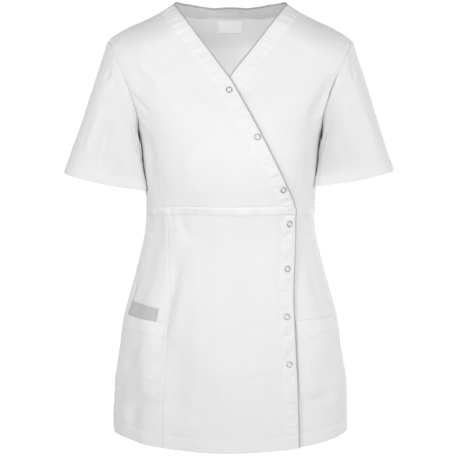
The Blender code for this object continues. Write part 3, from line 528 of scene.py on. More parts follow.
def meets(x_at, level_at, level):
    """The level where an edge reaches a line that runs round the body."""
    for _ in range(12):
        level = float(level_at(turn_of(x_at(level), level)))
    return level


def edge_stretches(x_at):
    """A front's edge: shoulder to chest, chest to bust and bust to hem."""
    ends = (-SHOULDER_FORWARD, meets(x_at, chest_level, ARMPIT_LEVEL),
            meets(x_at, under_bust_level, UNDER_BUST_FRONT), meets(x_at, hem_level, HEM_SIDE))
    return [edge_line(x_at, top, bottom) for top, bottom in zip(ends, ends[1:])]


def patch(left, right, top, bottom):
    """Places that fill the space between four edges."""
    u = np.linspace(0, 1, len(top))[None, :, None]
    v = np.linspace(0, 1, len(left))[:, None, None]
    corners = between(between(top[0], top[-1], u), between(bottom[0], bottom[-1], u), v)
    return between(left[:, None], right[:, None], u) + between(top, bottom, v) - corners


BUST_SIDE = UNDER_BUST_FRONT - UNDER_BUST_DIP
armhole_front, armhole_back = armhole_line(False), armhole_line(True)
side_high, side_low = side_line(ARMPIT_LEVEL, BUST_SIDE), side_line(BUST_SIDE, HEM_SIDE)
wrap, under = edge_stretches(wrap_x), edge_stretches(under_x)
princess = edge_line(princess_x, meets(princess_x, under_bust_level, UNDER_BUST_FRONT),
                     meets(princess_x, hem_level, HEM_SIDE))


def bodice_places(edge, mirror):
    """A bodice front; its columns run from the wearer's right to the left."""
    cols = spread(BODICE_COLS)
    rows = spread(BODICE_ROWS[0], end=False), spread(BODICE_ROWS[1], start=False)
    lines = armhole_front, side_high, shoulder_line()
    hole, side, shoulder = map(mirrored, lines) if mirror else lines
    order = 1 if mirror else -1
    pairs = [(spaced(outer, steps), spaced(inner, steps))[::order]
             for outer, inner, steps in zip((hole, side), edge, rows)]
    levels = zip((chest_level, under_bust_level), pairs)
    chest, bust = (across_line(level_at, left[-1, 0], right[-1, 0], cols)
                   for level_at, (left, right) in levels)
    return joined(patch(*pairs[0], spaced(shoulder[::-order], cols), chest),
                  patch(*pairs[1], chest, bust))


def skirt_places(left, right, cols):
    left, right = (spaced(line, spread(SKIRT_ROWS)) for line in (left, right))
    ends = (across_line(level_at, left[row, 0], right[row, 0], spread(cols))
            for level_at, row in ((under_bust_level, 0), (hem_level, -1)))
    return patch(left, right, *ends)


def back_places():
    """The whole back: a strip below its top edge, the yoke, then the rest."""
    def over(shoulder, neck):
        neck = on_left(neck[::-1], True)
        neck = spaced(smooth_line([*neck, *round_back(neck)[-2::-1]]),
                      spread(BACK_NECK_COLS, False, False))
        shoulder = spaced(shoulder, spread(SHOULDER_COLS, end=False))
        return joined(shoulder, neck, round_back(shoulder)[::-1])

    top = over(shoulder_line(True)[::-1], BACK_NECK)
    strip = spaced(armhole_back, np.linspace(0, 1 / 12, TOP_ROWS + 1))
    hole = spaced(armhole_back, np.linspace(1 / 12, 1, ARMHOLE_ROWS - 4))
    below = smooth_line([strip[-1],
                         *on_left(BELOW_SHOULDER[::-1] + FACING_LINE[:-2:-1], True)])
    facing = over(below, FACING_LINE)
    both = joined(spaced(side_high, spread(SIDE_ROWS, False, False)),
                  spaced(side_low, spread(SKIRT_ROWS, False)))
    cols = spread(len(top) - 1)
    chest = across_line(chest_level, math.pi / 2, 1.5 * math.pi, cols)
    hem = across_line(hem_level, both[-1, 0], 2 * math.pi - both[-1, 0], cols)
    return (joined(patch(strip, round_back(strip), top, facing),
                   patch(hole, round_back(hole), facing, chest),
                   patch(both, round_back(both), chest, hem)), top, facing)


# ================================================================ sewing
def beside(points, line):
    """How far each point lies from a line of points, and how far along it."""
    run, way = run_along(line), unit(np.gradient(line, axis=0))
    flat = points.reshape(-1, 3)
    away, along = np.ones(len(flat)), np.zeros(len(flat))
    near = np.flatnonzero(np.all((flat > line.min(axis=0) - NEAR_LINE)
                                 & (flat < line.max(axis=0) + NEAR_LINE), axis=1))
    for some in np.array_split(near, max(1, len(near) // 4000)):
        if len(some):
            gap = flat[some][:, None] - line
            square = (gap ** 2).sum(axis=-1)
            each, i = np.arange(len(some)), square.argmin(axis=1)
            step = np.clip((gap[each, i] * way[i]).sum(axis=-1), -0.0015, 0.0015)
            away[some] = np.sqrt(np.maximum(square[each, i] - step ** 2, 0))
            along[some] = run[i] + step
    return away.reshape(points.shape[:-1]), along.reshape(points.shape[:-1])


def on_form(places):
    """A line of places as points of the bare form, evenly close."""
    length = run_along(bare_form(places))[-1]
    return bare_form(spaced(places, int(length / LINE_SPACING) + 2))


def both_sides(line):
    return [line, mirrored(line)]


SEAM_LINES = [on_form(line) for line in (
    *both_sides(joined(side_high, side_low)), *both_sides(armhole_front),
    armhole_back, round_back(armhole_back), *both_sides(shoulder_line()), princess)]
whole_wrap, whole_under = joined(*wrap), joined(*under)
FACED = {"over": on_form(whole_wrap), "under": on_form(whole_under)}
snap_places = on_left([(wrap_x(level) - inside, level) for level, inside in SNAPS])
snap_points = bare_form(snap_places)
placket_creases = [
    (math.degrees(turn_of(wrap_x(level) - inside, level)), level, tilt, length, half,
     depth * (1.8 if level < UNDER_BUST_FRONT else 1.0), 0.2)
    for level, inside, tilt, length, half, depth in PLACKET_CREASES]


def seam_work(points):
    """The seams' grooves, and the puckers that run out from them."""
    rise = 0
    for seed, line in enumerate(SEAM_LINES):
        away, along = beside(points, line)
        rise = rise - SEAM_DIP * hump(away, SEAM_HALF)
        rise += SEAM_PUCKER * uneven(along / 0.0070, 40 + seed) * hump(away - 0.006, 0.009)
    return rise


def facing_work(points, line, seed, depth):
    """A faced edge: a little proud, puckered, and stitched down inside it."""
    away, along = beside(points, line)
    inside = smooth_step((FACING_DEEP - away) / 0.003 + 0.5) * (away < 0.9)
    pucker = uneven((along + 0.30 * away) / 0.0040, seed) * hump(away - 0.013, 0.0105)
    return (0.00050 * inside + depth * pucker
            - 0.00080 * hump(away - FACING_DEEP, 0.0018)
            - 0.00030 * hump(away - EDGE_STITCH, 0.0012))


def bust_work(turn, level):
    """The under-bust seam, with its allowance pressed down below it."""
    down, along = under_bust_level(turn) - level, turn * BUST_GIRTH
    band = smooth_step(down / 0.0020) * smooth_step((BAND_DEEP - down) / 0.0045 + 0.5)
    pucker = uneven(along / 0.0075, 7) * hump(down - 0.006, 0.019)
    gathers = uneven(along / 0.0190, 8) * hump(down - 0.020, 0.045)
    return (np.cos(turn) > 0.02) * (0.00110 * band - 0.0008 * hump(down, 0.0016)
                                    + BUST_PUCKER * pucker
                                    + GATHER * gathers * smooth_step(down / 0.010))


def hem_work(up, deep, along, pitch, seed, depth, middle):
    """A hem turned up so deep, a little proud, puckered and stitched down."""
    return (0.00035 * smooth_step((deep - up) / 0.003 + 0.5)
            - 0.00055 * hump(up - deep, 0.0017) - 0.0004 * hump(up, 0.0012)
            + depth * uneven((along + 0.4 * up) / pitch, seed) * hump(up - middle, 0.011))


def snap_work(points, rise):
    """The cloth flat between each snap's parts, and drawn in around them."""
    drawn = 0
    for centre in snap_points:
        away = np.linalg.norm(points - centre, axis=-1)
        rise = rise * (1 - hump(away, SNAP_REACH))
        drawn = drawn + (SNAP_DRAW * hump(away, SNAP_REACH)
                         * smooth_step((away - 0.002) / 0.004))
    return rise - drawn


def wrap_drop(turn, level):
    """How far the under-front lies below the form, under the over-front."""
    past = (half_width(level) * np.sin(turn) - wrap_x(level) - WRAP_FLAT) / WRAP_EASE
    return -WRAP_STEP * (1 - smooth_step(past))


def cloth_rise(places, side):
    """How far the cloth of a panel stands off the form, with all its work."""
    turn, level = parts(places)
    points = bare_form(places)
    rise = (fold_rise(turn, level) + crease_rise(CREASES, turn, level)
            + 0.00055 * swell(points, 0.100, 3) + 0.00012 * swell(points, 0.030, 5)
            + UPRIGHT_FOLD * uneven(turn * 5.4 + 2.5 * level, 12)
            * smooth_step((FOLDS_FROM - level) / 0.08) + seam_work(points)
            + hem_work(level - hem_level(turn), HEM_DEEP, turn * HEM_GIRTH, 0.0085, 9,
                       HEM_PUCKER, 0.014) + bust_work(turn, level))
    if side in FACED:
        rise += facing_work(points, FACED[side], len(side), FACING_PUCKER[side])
    if side == "over":
        rise = snap_work(points, rise + crease_rise(placket_creases, turn, level))
    if side == "under":
        rise += wrap_drop(turn, level)
    return rise


def doubled(places, side):
    """Where the cloth is double, in facings, hems and the under-bust seam: the mask for painted
    light.
    """
    turn, level = parts(places)
    down = under_bust_level(turn) - level
    there = (level - hem_level(turn) < HEM_DEEP) | (
        (np.cos(turn) > 0.02) & (down > 0.0008) & (down < BAND_DEEP))
    if side in FACED:
        there = there | (beside(bare_form(places), FACED[side])[0] < FACING_DEEP)
    return there


def cloth_surface(places, side, lift=0.0):
    """Points and outward directions of a panel's cloth at the given places."""
    normal = form_normal(places)
    return bare_form(places) + normal * (cloth_rise(places, side) + lift)[..., None], normal


def inset(line, distance, towards):
    """A line moved sideways over the form, towards a place."""
    target, middle = bare_form(towards), len(line) // 2
    for _ in range(8):
        points = bare_form(line)
        way = np.cross(np.gradient(points, axis=0), form_normal(line))
        way = unit(way * np.sign(way[middle] @ (target - points[middle])))
        by_turn, by_level = form_ways(line)
        a, b, c, p, q = ((one * other).sum(axis=1) for one, other in (
            (by_turn, by_turn), (by_turn, by_level), (by_level, by_level),
            (by_turn, way), (by_level, way)))
        line = line + place(c * p - b * q, a * q - b * p) / (
            a * c - b * b)[:, None] * distance / 8
    return line


# ================================================================ meshes
def linked(name, data):
    made = bpy.data.objects.new(name, data)
    bpy.context.collection.objects.link(made)
    return made


def finished(name, points, faces, finish, smooth=40):
    """A mesh object at the origin, smooth except at its sharp edges."""
    name = name + "_sewn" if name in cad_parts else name
    mesh = bpy.data.meshes.new(name)
    mesh.from_pydata(np.asarray(points).tolist(), [], [list(map(int, f)) for f in faces])
    mesh.materials.append(finish)
    mesh.shade_smooth()
    mesh.set_sharp_from_angle(angle=math.radians(smooth))
    return linked(name, mesh)


def weave_map(made, u, v):
    """The map of the weave, in metres, for each corner of each face."""
    made.data.uv_layers.new(name="weave").data.foreach_set(
        "uv", np.stack([u, v], axis=-1).astype(np.float32).ravel())
    return made


def shell(name, points, normals, finish, ply=CLOTH, closed=False, inside=0.0, double=0.0,
          shade=0.0, outer_painted_shade=0.0):
    """A wall of cloth on a grid of points; `inside` thickens it inward.

    `double` tints both faces lighter, as painted light; `shade` tints the inner one and
    `outer_painted_shade` the outer one darker, as painted shade.
    """
    rows, cols = points.shape[:2]
    count, span = rows * cols, cols if closed else cols - 1
    skins = [points + normals * ply / 2,
             points - normals * (ply / 2 + np.broadcast_to(inside, (rows, cols)))[..., None]]

    def at(i, j):
        return i * cols + j % cols

    down, along = np.arange(rows - 1), np.arange(span)
    i, j = np.meshgrid(down, along, indexing="ij")
    outer = np.stack([at(i, j), at(i, j + 1), at(i + 1, j + 1), at(i + 1, j)],
                     axis=-1).reshape(-1, 4)
    rims = [(at(0, along), at(0, along + 1)), (at(rows - 1, along + 1), at(rows - 1, along))]
    if not closed:
        rims += [(at(down + 1, 0), at(down, 0)), (at(down, cols - 1), at(down + 1, cols - 1))]
    faces = np.concatenate([outer, outer[:, ::-1] + count, *(
        np.stack([b, a, a + count, b + count], axis=-1) for a, b in rims)])
    corner = skins[0].reshape(-1, 3)[outer[0]]
    if np.cross(corner[1] - corner[0], corner[3] - corner[0]) @ normals[0, 0] < 0:
        faces = faces[:, ::-1]
    made = finished(name, np.concatenate([skin.reshape(-1, 3) for skin in skins]),
                    faces, finish, 62)
    around = np.concatenate([points, points[:, :1]], axis=1) if closed else points
    u, v = run_along(around, 1), run_along(around)
    u = u - u[:, [around.shape[1] // 2]]
    row, col = faces % count // cols, faces % cols
    if closed:
        wraps = (col.max(axis=1) == cols - 1) & (col.min(axis=1) == 0)
        col = np.where(wraps[:, None] & (col == 0), cols, col)
    for tint, values in (("double", (double, double)), ("shade", (outer_painted_shade, shade))):
        made.data.attributes.new(tint, "FLOAT", "POINT").data.foreach_set(
            "value", np.concatenate([np.broadcast_to(value, (rows, cols)).ravel()
                                     for value in values]).astype(np.float32))
    return weave_map(made, u[row, col], v[row, col])


def swept(name, path, side, up, half_width, half_rise, finish):
    """A round-edged strip along a path, closed at its ends."""
    angle = np.linspace(0, 2 * math.pi, PIPING_SIDES, endpoint=False)[:, None]
    rings = (path[:, None] + side[:, None] * half_width * np.cos(angle)
             + up[:, None] * half_rise * np.sin(angle))

    def at(i, k):
        return i * PIPING_SIDES + k % PIPING_SIDES

    last, around = len(path) - 1, range(PIPING_SIDES)
    faces = [[at(i, k), at(i, k + 1), at(i + 1, k + 1), at(i + 1, k)]
             for i in range(last) for k in around]
    faces += [[at(0, k) for k in around[::-1]], [at(last, k) for k in around]]
    if np.cross(side[0], up[0]) @ (path[1] - path[0]) > 0:
        faces = [face[::-1] for face in faces]
    made = finished(name, rings.reshape(-1, 3), faces, finish, 60)
    spots = np.concatenate(faces)
    return weave_map(made, run_along(path)[spots // PIPING_SIDES],
                     spots % PIPING_SIDES * 0.0007)


# ================================================================ finishes
def colour(code):
    """An sRGB hex value as linear red, green, blue and 1."""
    levels = [int(code[i:i + 2], 16) / 255 for i in (1, 3, 5)]
    return (*(v / 12.92 if v <= 0.04045 else ((v + 0.055) / 1.055) ** 2.4 for v in levels), 1)


def add(tree, kind, settings=(), out=0, **inputs):
    """One node, given as its output `out`, or as itself where that is None.

    A kind without "Node" in it is a shader node's. Inputs go by name or as
    `in0`, `in1`, and each is a socket, a hex value or another constant.
    """
    made = tree.nodes.new(kind if "Node" in kind else "ShaderNode" + kind)
    for key, value in dict(settings).items():
        setattr(made, key, value)
    for key, value in inputs.items():
        key = int(key[2:]) if key[:2] == "in" and key[2:].isdigit() else key.replace("_", " ")
        if isinstance(value, bpy.types.NodeSocket):
            tree.links.new(value, made.inputs[key])
        else:
            made.inputs[key].default_value = colour(value) if str(value)[0] == "#" else value
    return made if out is None else made.outputs[out]


# the settings of a mix of two colours and of three kinds of sum
MIX = {"data_type": "RGBA"}
PLUS, TIMES, OVER = ({"operation": operation} for operation in ("ADD", "MULTIPLY", "DIVIDE"))


def material(name, roughness, **constants):
    """A Principled material; its constants go by socket name."""
    made = bpy.data.materials.new(name)
    made.use_nodes = True
    shader = made.node_tree.nodes["Principled BSDF"]
    for key, value in {"Roughness": roughness, **constants}.items():
        shader.inputs[key.replace("_", " ")].default_value = value

    def feed(**sockets):
        for key, socket in sockets.items():
            made.node_tree.links.new(socket, shader.inputs[key.replace("_", " ")])
    return made, made.node_tree, feed


def twill(name, light, dark, double_ply_light, painted_shade_colour, rib, roughness, sheen):
    """Woven twill: slanting ribs across the weave map, with soft slubs.

    Where the cloth is double, less light gets through, and it takes the lighter twofold
    colour as painted light. The shaded colour is painted shade, inside the neck and sleeves.
    """
    made, tree, feed = material(name, roughness, Sheen_Weight=sheen, Sheen_Roughness=0.45,
                                Specular_IOR_Level=0.3, IOR=1.47)
    spot = add(tree, "UVMap", {"uv_map": "weave"})
    slant = add(tree, "Mapping", Vector=spot, Rotation=(0, 0, TWILL_SLANT),
                Scale=(1 / rib, 1 / rib, 1))
    ribs = add(tree, "TexWave", {"wave_type": "BANDS", "bands_direction": "X"}, "Fac",
               Vector=slant, Scale=WAVE_SCALE, Distortion=0.6, Detail=1.0, Detail_Scale=1.5)
    slubs = add(tree, "TexNoise", Scale=1, Detail=2, Roughness=0.6,
                Vector=add(tree, "Mapping", Vector=spot, Scale=SLUBS))
    clouds = add(tree, "TexNoise", Vector=spot, Scale=CLOUDS, Detail=3, Roughness=0.55)
    tone = add(tree, "MapRange", Value=clouds, From_Min=0.30, From_Max=0.70)
    cloth = add(tree, "Mix", MIX, 2, Factor=tone, in6=dark, in7=light)
    for given, tint in (("double", double_ply_light), ("shade", painted_shade_colour)):
        share = add(tree, "Attribute", {"attribute_name": given}, "Fac")
        cloth = add(tree, "Mix", MIX, 2, Factor=share, in6=cloth, in7=tint)
    height = add(tree, "Math", {"operation": "MULTIPLY_ADD"}, in0=slubs, in1=0.5, in2=ribs)
    feed(Base_Color=cloth, Normal=add(tree, "Bump", Strength=0.35, Distance=0.00010,
                                      Height=height))
    return made


# polyester and cotton twill, piece-dyed white and pressed: matt, with a faint
# bloom from its short fibres. Its ribs are really 0.6 mm apart, and are drawn
# 1.2 mm apart, because finer ones would not show.
# EFEFEF, for where it is double, is painted light, and #C3C3C3 is painted shade
WHITE_CLOTH = twill("white polyester cotton twill", "#EEEEEE", "#ECECEC", "#EFEFEF",
                    "#C3C3C3", 0.0012, 0.86, 0.12)
# the same cloth dyed grey, cut on the bias for the piping and the pen tab
# CACACA, for where it is double, is painted light that lifts the pen tab
GREY_CLOTH = twill("grey polyester cotton twill", "#BEBEBE", "#B6B6B6", "#CACACA",
                   "#BEBEBE", 0.0009, 0.84, 0.12)

# spun polyester sewing thread: two plies, with a slight gloss
SPUN_THREAD, tree, feed = material("white spun polyester thread", 0.55, Sheen_Weight=0.2, IOR=1.5)
plies = add(tree, "TexNoise", Vector=add(tree, "TexCoord", out="Object"), Scale=PLIES,
            Detail=1)
feed(Base_Color=add(tree, "Mix", MIX, 2, Factor=plies, in6="#DEDFE1", in7="#F2F2F3"))

# woven satin label tape: fine ribs across it, as far apart as on a real tape
# of this width, and a soft gloss
TAPE, tree, feed = material("white woven satin tape", 0.5, Sheen_Weight=0.25,
                            Specular_IOR_Level=0.5)
ribs = add(tree, "TexWave", {"wave_type": "BANDS", "bands_direction": "Y"}, "Fac",
           Vector=add(tree, "UVMap", {"uv_map": "weave"}), Scale=WAVE_SCALE / TAPE_RIB,
           Distortion=0.2)
# its greys are white tape darkened with painted shade, for the hollow of the neck
feed(Base_Color=add(tree, "Mix", MIX, 2, Factor=ribs, in6="#DCDCDC", in7="#E6E6E6"),
     Normal=add(tree, "Bump", Strength=0.2, Distance=0.00006, Height=ribs))

# nickel-plated brass, stamped: bright, with a fine grain in its gloss
NICKEL, tree, feed = material("stamped nickel-plated brass", 0.24, Metallic=1.0)
grain = add(tree, "TexNoise", Vector=add(tree, "TexCoord", out="Object"), Scale=GRAIN,
            Detail=2)
feed(Base_Color=add(tree, "Mix", MIX, 2, Factor=grain, in6="#A9AAAC", in7="#C6C7C9"),
     Roughness=add(tree, "MapRange", Value=grain, To_Min=0.18, To_Max=0.34))


# ================================================================ repeats
def repeated(name, inputs, unit_of, along):
    """A Geometry Nodes tree that puts one unit at each point, Z outward.

    `inputs` are its named inputs. `unit_of` gives the unit, and `along` says
    whether the units lie along the lines of the given mesh.
    """
    tree = bpy.data.node_groups.new(name, "GeometryNodeTree")
    tree.interface.new_socket("Geometry", in_out="OUTPUT", socket_type="NodeSocketGeometry")
    for label, kind, value in (("Geometry", "Geometry", None), *inputs,
                               ("Finish", "Material", None)):
        socket = tree.interface.new_socket(label, socket_type=f"NodeSocket{kind}")
        if value is not None:
            socket.default_value = value
    given = tree.nodes.new("NodeGroupInput").outputs
    outward = add(tree, "GeometryNodeInputNamedAttribute", {"data_type": "FLOAT_VECTOR"},
                  Name="outward")
    points, turned, size = given["Geometry"], {}, {}
    if along:
        pitch = add(tree, "Math", PLUS, in0=given["Stitch length"], in1=given["Gap"])
        spots = add(tree, "GeometryNodeCurveToPoints", {"mode": "LENGTH"}, None, Length=pitch,
                    Curve=add(tree, "GeometryNodeMeshToCurve", Mesh=points))
        points = spots.outputs["Points"]
        turned = {"Rotation": add(tree, "FunctionNodeAlignRotationToVector", {"axis": "X"},
                                  Vector=spots.outputs["Tangent"])}
        loose = add(tree, "FunctionNodeRandomValue", {"data_type": "FLOAT"}, 1,
                    Seed=given["Seed"], in2=0.90, in3=1.06)
        half, thick = (add(tree, "Math", TIMES, in0=given[label], in1=0.5)
                       for label in ("Stitch length", "Thread"))
        size = {"Scale": add(tree, "VectorMath", {"operation": "SCALE"}, Scale=loose,
                             in0=add(tree, "CombineXYZ", X=half, Y=thick, Z=thick))}
    rotation = add(tree, "FunctionNodeAlignRotationToVector",
                   {"axis": "Z", "pivot_axis": "X" if along else "AUTO"}, Vector=outward,
                   **turned)
    placed = add(tree, "GeometryNodeInstanceOnPoints", Points=points,
                 Instance=unit_of(tree, given), Rotation=rotation, **size)
    smooth = add(tree, "GeometryNodeSetShadeSmooth",
                 Geometry=add(tree, "GeometryNodeRealizeInstances", Geometry=placed))
    add(tree, "NodeGroupOutput", out=None, Geometry=add(
        tree, "GeometryNodeSetMaterial", Geometry=smooth, Material=given["Finish"]))
    return tree


def bolster(tree, given):
    return add(tree, "GeometryNodeMeshUVSphere", Segments=6, Rings=4, Radius=1.0)


def open_ring(tree, given):
    """A round ring, pressed flat."""
    half = add(tree, "Math", TIMES, in0=given["Thickness"], in1=0.5)
    flat = add(tree, "Math", OVER, in0=given["Height"], in1=given["Thickness"])
    section, circle = (add(tree, "GeometryNodeCurvePrimitiveCircle", Resolution=count,
                           Radius=radius)
                       for count, radius in ((12, half), (40, given["Middle radius"])))
    return add(tree, "GeometryNodeTransform",
               Geometry=add(tree, "GeometryNodeCurveToMesh", Curve=circle,
                            Profile_Curve=section),
               Scale=add(tree, "CombineXYZ", X=1.0, Y=1.0, Z=flat))


LOCKSTITCHES = repeated("lockstitches", (
    ("Stitch length", "Float", STITCH_LENGTH), ("Gap", "Float", STITCH_GAP),
    ("Thread", "Float", THREAD), ("Seed", "Int", 5)), bolster, True)
RING_SNAPS = repeated("ring snaps", (
    ("Middle radius", "Float", RING_MIDDLE), ("Thickness", "Float", RING_THICK),
    ("Height", "Float", RING_HIGH)), open_ring, False)


def grown(name, tree, lines, finish):
    """The result of a tree on lines of (points, outward), as a plain mesh."""
    edges, start = [], 0
    for line, _ in lines:
        edges += [(start + k, start + k + 1) for k in range(len(line) - 1)]
        start += len(line)
    points, outward = (np.concatenate([line[k] for line in lines]) for k in (0, 1))
    mesh = bpy.data.meshes.new(name)
    mesh.from_pydata(points.tolist(), edges, [])
    mesh.attributes.new("outward", "FLOAT_VECTOR", "POINT").data.foreach_set(
        "vector", outward.astype(np.float32).ravel())
    source = linked(name, mesh)
    grower = source.modifiers.new("grow", "NODES")
    grower.node_group = tree
    for item in tree.interface.items_tree:
        if item.in_out == "INPUT" and item.name == "Finish":
            grower[item.identifier] = finish
    seen = source.evaluated_get(bpy.context.evaluated_depsgraph_get())
    made = linked(name, bpy.data.meshes.new_from_object(seen))
    bpy.data.objects.remove(source, do_unlink=True)
    made.name = made.data.name = name
    return made


# ================================================================ the pieces
back_grid, back_top, back_facing = back_places()
PANELS = {
    "right_front_bodice": (bodice_places(wrap, True), "over"),
    "left_front_bodice": (bodice_places(under, False), "under"),
    "right_front_skirt": (skirt_places(princess, wrap[2], SKIRT_COLS), "over"),
    "right_side_front": (skirt_places(mirrored(side_low), princess, SIDE_FRONT_COLS), "side"),
    "left_front_skirt": (skirt_places(under[2], side_low, BODICE_COLS), "under"),
    "back": (back_grid, "back"),
}
pieces = {}
# the panels: painted light where double, painted shade inside the back near the neck
for name, (places, side) in PANELS.items():
    turn, level = parts(places)
    pieces[name] = shell(
        name, *cloth_surface(places, side), WHITE_CLOTH,
        inside=HEM_PLY * (level - hem_level(turn) < HEM_DEEP), double=doubled(places, side),
        shade=(side == "back") * BACK_PAINTED_SHADE * smooth_step((level - PAINTED_SHADE_FROM) / 0.03))

wrap_run = spaced(whole_wrap, 420)
tucked = whole_under[whole_under[:, 1] > PIPING_TUCK_LEVEL]
back_neck, facing_foot = (line[SHOULDER_COLS:-SHOULDER_COLS] for line in (back_top, back_facing))
# piping on the panels' edges: a folded bias strip over a thin cord
for name, edge, inward, side in (
        ("piping_right_front", wrap_run, (-0.5, -0.30), "over"),
        ("piping_left_front", spaced(tucked, 110), (0.6, -0.12), "under"),
        ("piping_back_neck", spaced(back_neck, 130), (math.pi, -0.10), "back")):
    edge = spaced(edge, len(edge))
    path, up = cloth_surface(edge, side)
    across, middle = np.cross(np.gradient(path, axis=0), up), len(edge) // 2
    across = unit(across * -np.sign(across[middle] @ (bare_form(inward) - path[middle])))
    path = path + across * BEAD_HALF_WIDTH * 0.95 + up * 0.0002
    pieces[name] = swept(name, path, across, up, BEAD_HALF_WIDTH, BEAD_HALF_RISE, GREY_CLOTH)

# the facing inside the back neck, wrinkled between its edges, all in painted shade
top, foot, v = back_neck[None, 1:-1], facing_foot[None, 1:-1], np.linspace(0, 1, 24)[:, None]
along = (top[..., 0] * NECK_GIRTH + 0.012 * v) / 0.0105
wrinkle = NECK_WRINKLE * (1 + uneven(along, 14)) * np.sin(math.pi * v)
pieces["back_neck_facing"] = shell("back_neck_facing", *cloth_surface(
    between(top, foot, v[..., None]), "back", -PLY_STEP - 0.0002 - wrinkle), WHITE_CLOTH,
    shade=1.0)

# the bare label, sewn on below the facing, its lower edge standing off a little
u, v = np.linspace(-1, 1, 44)[None], np.linspace(0, 1, 26)[:, None]
level = between(LABEL_TOP, LABEL_BOTTOM, v) + 0 * u
pieces["neck_label"] = shell("neck_label", *cloth_surface(
    place(math.pi - turn_of(LABEL_HALF_WIDTH * u, level), level), "back",
    -0.0011 - 0.0011 * v ** 2 - 0.0003 * np.sin(3 * u + 1) * v), TAPE, ply=0.0004)


def pocket(side):
    """A patch pocket, caught in the seams beside it; its mouth gapes a little."""
    level = np.linspace(POCKET_TOP, POCKET_BOTTOM, POCKET_ROWS + 1)[:, None]
    if side == "right":
        left, right = -np.radians(side_turn(level)), turn_of(princess_x(level), level)
        panel, clear, slope, full = "side", 0.0008, 0.0030, POCKET_FULLNESS
    else:
        left, right = turn_of(wrap_x(level) + 0.0040, level), np.radians(side_turn(level))
        panel, clear, slope, full = "under", 0.0002, 0.0024, 0.0007
    u = spread(POCKET_COLS)[None]
    down, foot, edge = POCKET_TOP - level, level - POCKET_BOTTOM, np.minimum(u, 1 - u)
    edge, across = edge * POCKET_WIDTH, u * POCKET_WIDTH
    places = place(between(left + clear / HEM_GIRTH, right - 0.0008 / HEM_GIRTH, u),
                   level + 0.6 * slope * (1 - 2 * u) * smooth_step(foot / 0.08))
    work = (full * np.sin(math.pi * u) ** 0.8 * smooth_step(foot / 0.075)
            + 0.00040 * smooth_step((MOUTH_DEEP - down) / 0.003 + 0.5)
            - 0.00055 * hump(down - MOUTH_DEEP, 0.0018)
            - 0.00040 * hump(foot - EDGE_STITCH, 0.0014)
            + 0.00028 * uneven(across / 0.0080, 21) * hump(foot, 0.014)
            + 0.00025 * uneven(across / 0.0090, 22) * hump(down - MOUTH_DEEP, 0.011)
            + 0.00030 * uneven(down / 0.0085, 23) * hump(edge, 0.011)
            - 0.00040 * hump(edge, 0.0016))
    creases = crease_rise(POCKET_CREASES[side], *parts(places)) * np.minimum(1, edge / 0.012)
    points, normals = cloth_surface(places, panel, PLY_STEP * 0.8 + work + creases)
    mouth = (down < MOUTH_DEEP) + 0 * u
    # painted light lifts the pocket a little all over and fully on its doubled mouth
    made = shell(f"pocket_{side}", points, normals, WHITE_CLOTH,
                 inside=0.0002 + 0.0004 * mouth, double=0.3 + 0.7 * mouth)
    return made, points, normals


def sewn_down(points, normals, lift, *cuts):
    """Stitch lines along some rows and columns of a sewn-on piece."""
    return [((points + normals * lift)[cut], normals[cut]) for cut in cuts]


pocket_stitches = []
for side in ("right", "left"):
    pieces[f"pocket_{side}"], points, normals = pocket(side)
    mouth_row = round(POCKET_ROWS * MOUTH_DEEP / (POCKET_TOP - POCKET_BOTTOM))
    pocket_stitches += sewn_down(points, normals, STITCH_LIFT, np.s_[mouth_row, 2:-2],
                                 np.s_[-2, 2:-2], np.s_[1:-1, 3], np.s_[1:-1, -4])

# the pen tab, a folded strip stitched down at both ends, lifted all over with painted light
u, v = spread(40)[None], spread(20)[:, None]
end, edge = np.minimum(u, 1 - u) * TAB_WIDTH, np.minimum(v, 1 - v) * TAB_HIGH
lift = (PLY_STEP * 1.1 + 0.0010 * np.sin(math.pi * u) - 0.0004 * hump(end - 0.0028, 0.0014)
        - 0.0003 * hump(edge, 0.0011)
        + 0.00020 * uneven(u * TAB_WIDTH / 0.0065, 31) * hump(end, 0.012))
points, normals = cloth_surface(place(between(*np.radians(TAB_TURNS), u),
                                      between(*TAB_TOPS, u) - TAB_HIGH * v), "side", lift)
pieces["pen_tab"] = shell("pen_tab", points, normals, GREY_CLOTH, ply=0.0014, double=1.0)
tab_stitches = sewn_down(points, normals, 0.00075, np.s_[1:-1, 3], np.s_[1:-1, -4],
                         np.s_[2, 1:-1], np.s_[-3, 1:-1])


# ---------------------------------------------------------------- sleeves
def turn_beside(points):
    """The turn of the left side's cloth beside each point of a sleeve."""
    y, z = points[..., 1], points[..., 2]
    reach = np.where(y < 0, front_reach(z), back_reach(z))
    square = np.where(y < 0, front_square(z), back_square(z))
    turn = np.arccos(np.clip(np.abs(y) / reach, 0, 1) ** (1 / square))
    return np.where(y < 0, turn, math.pi - turn)


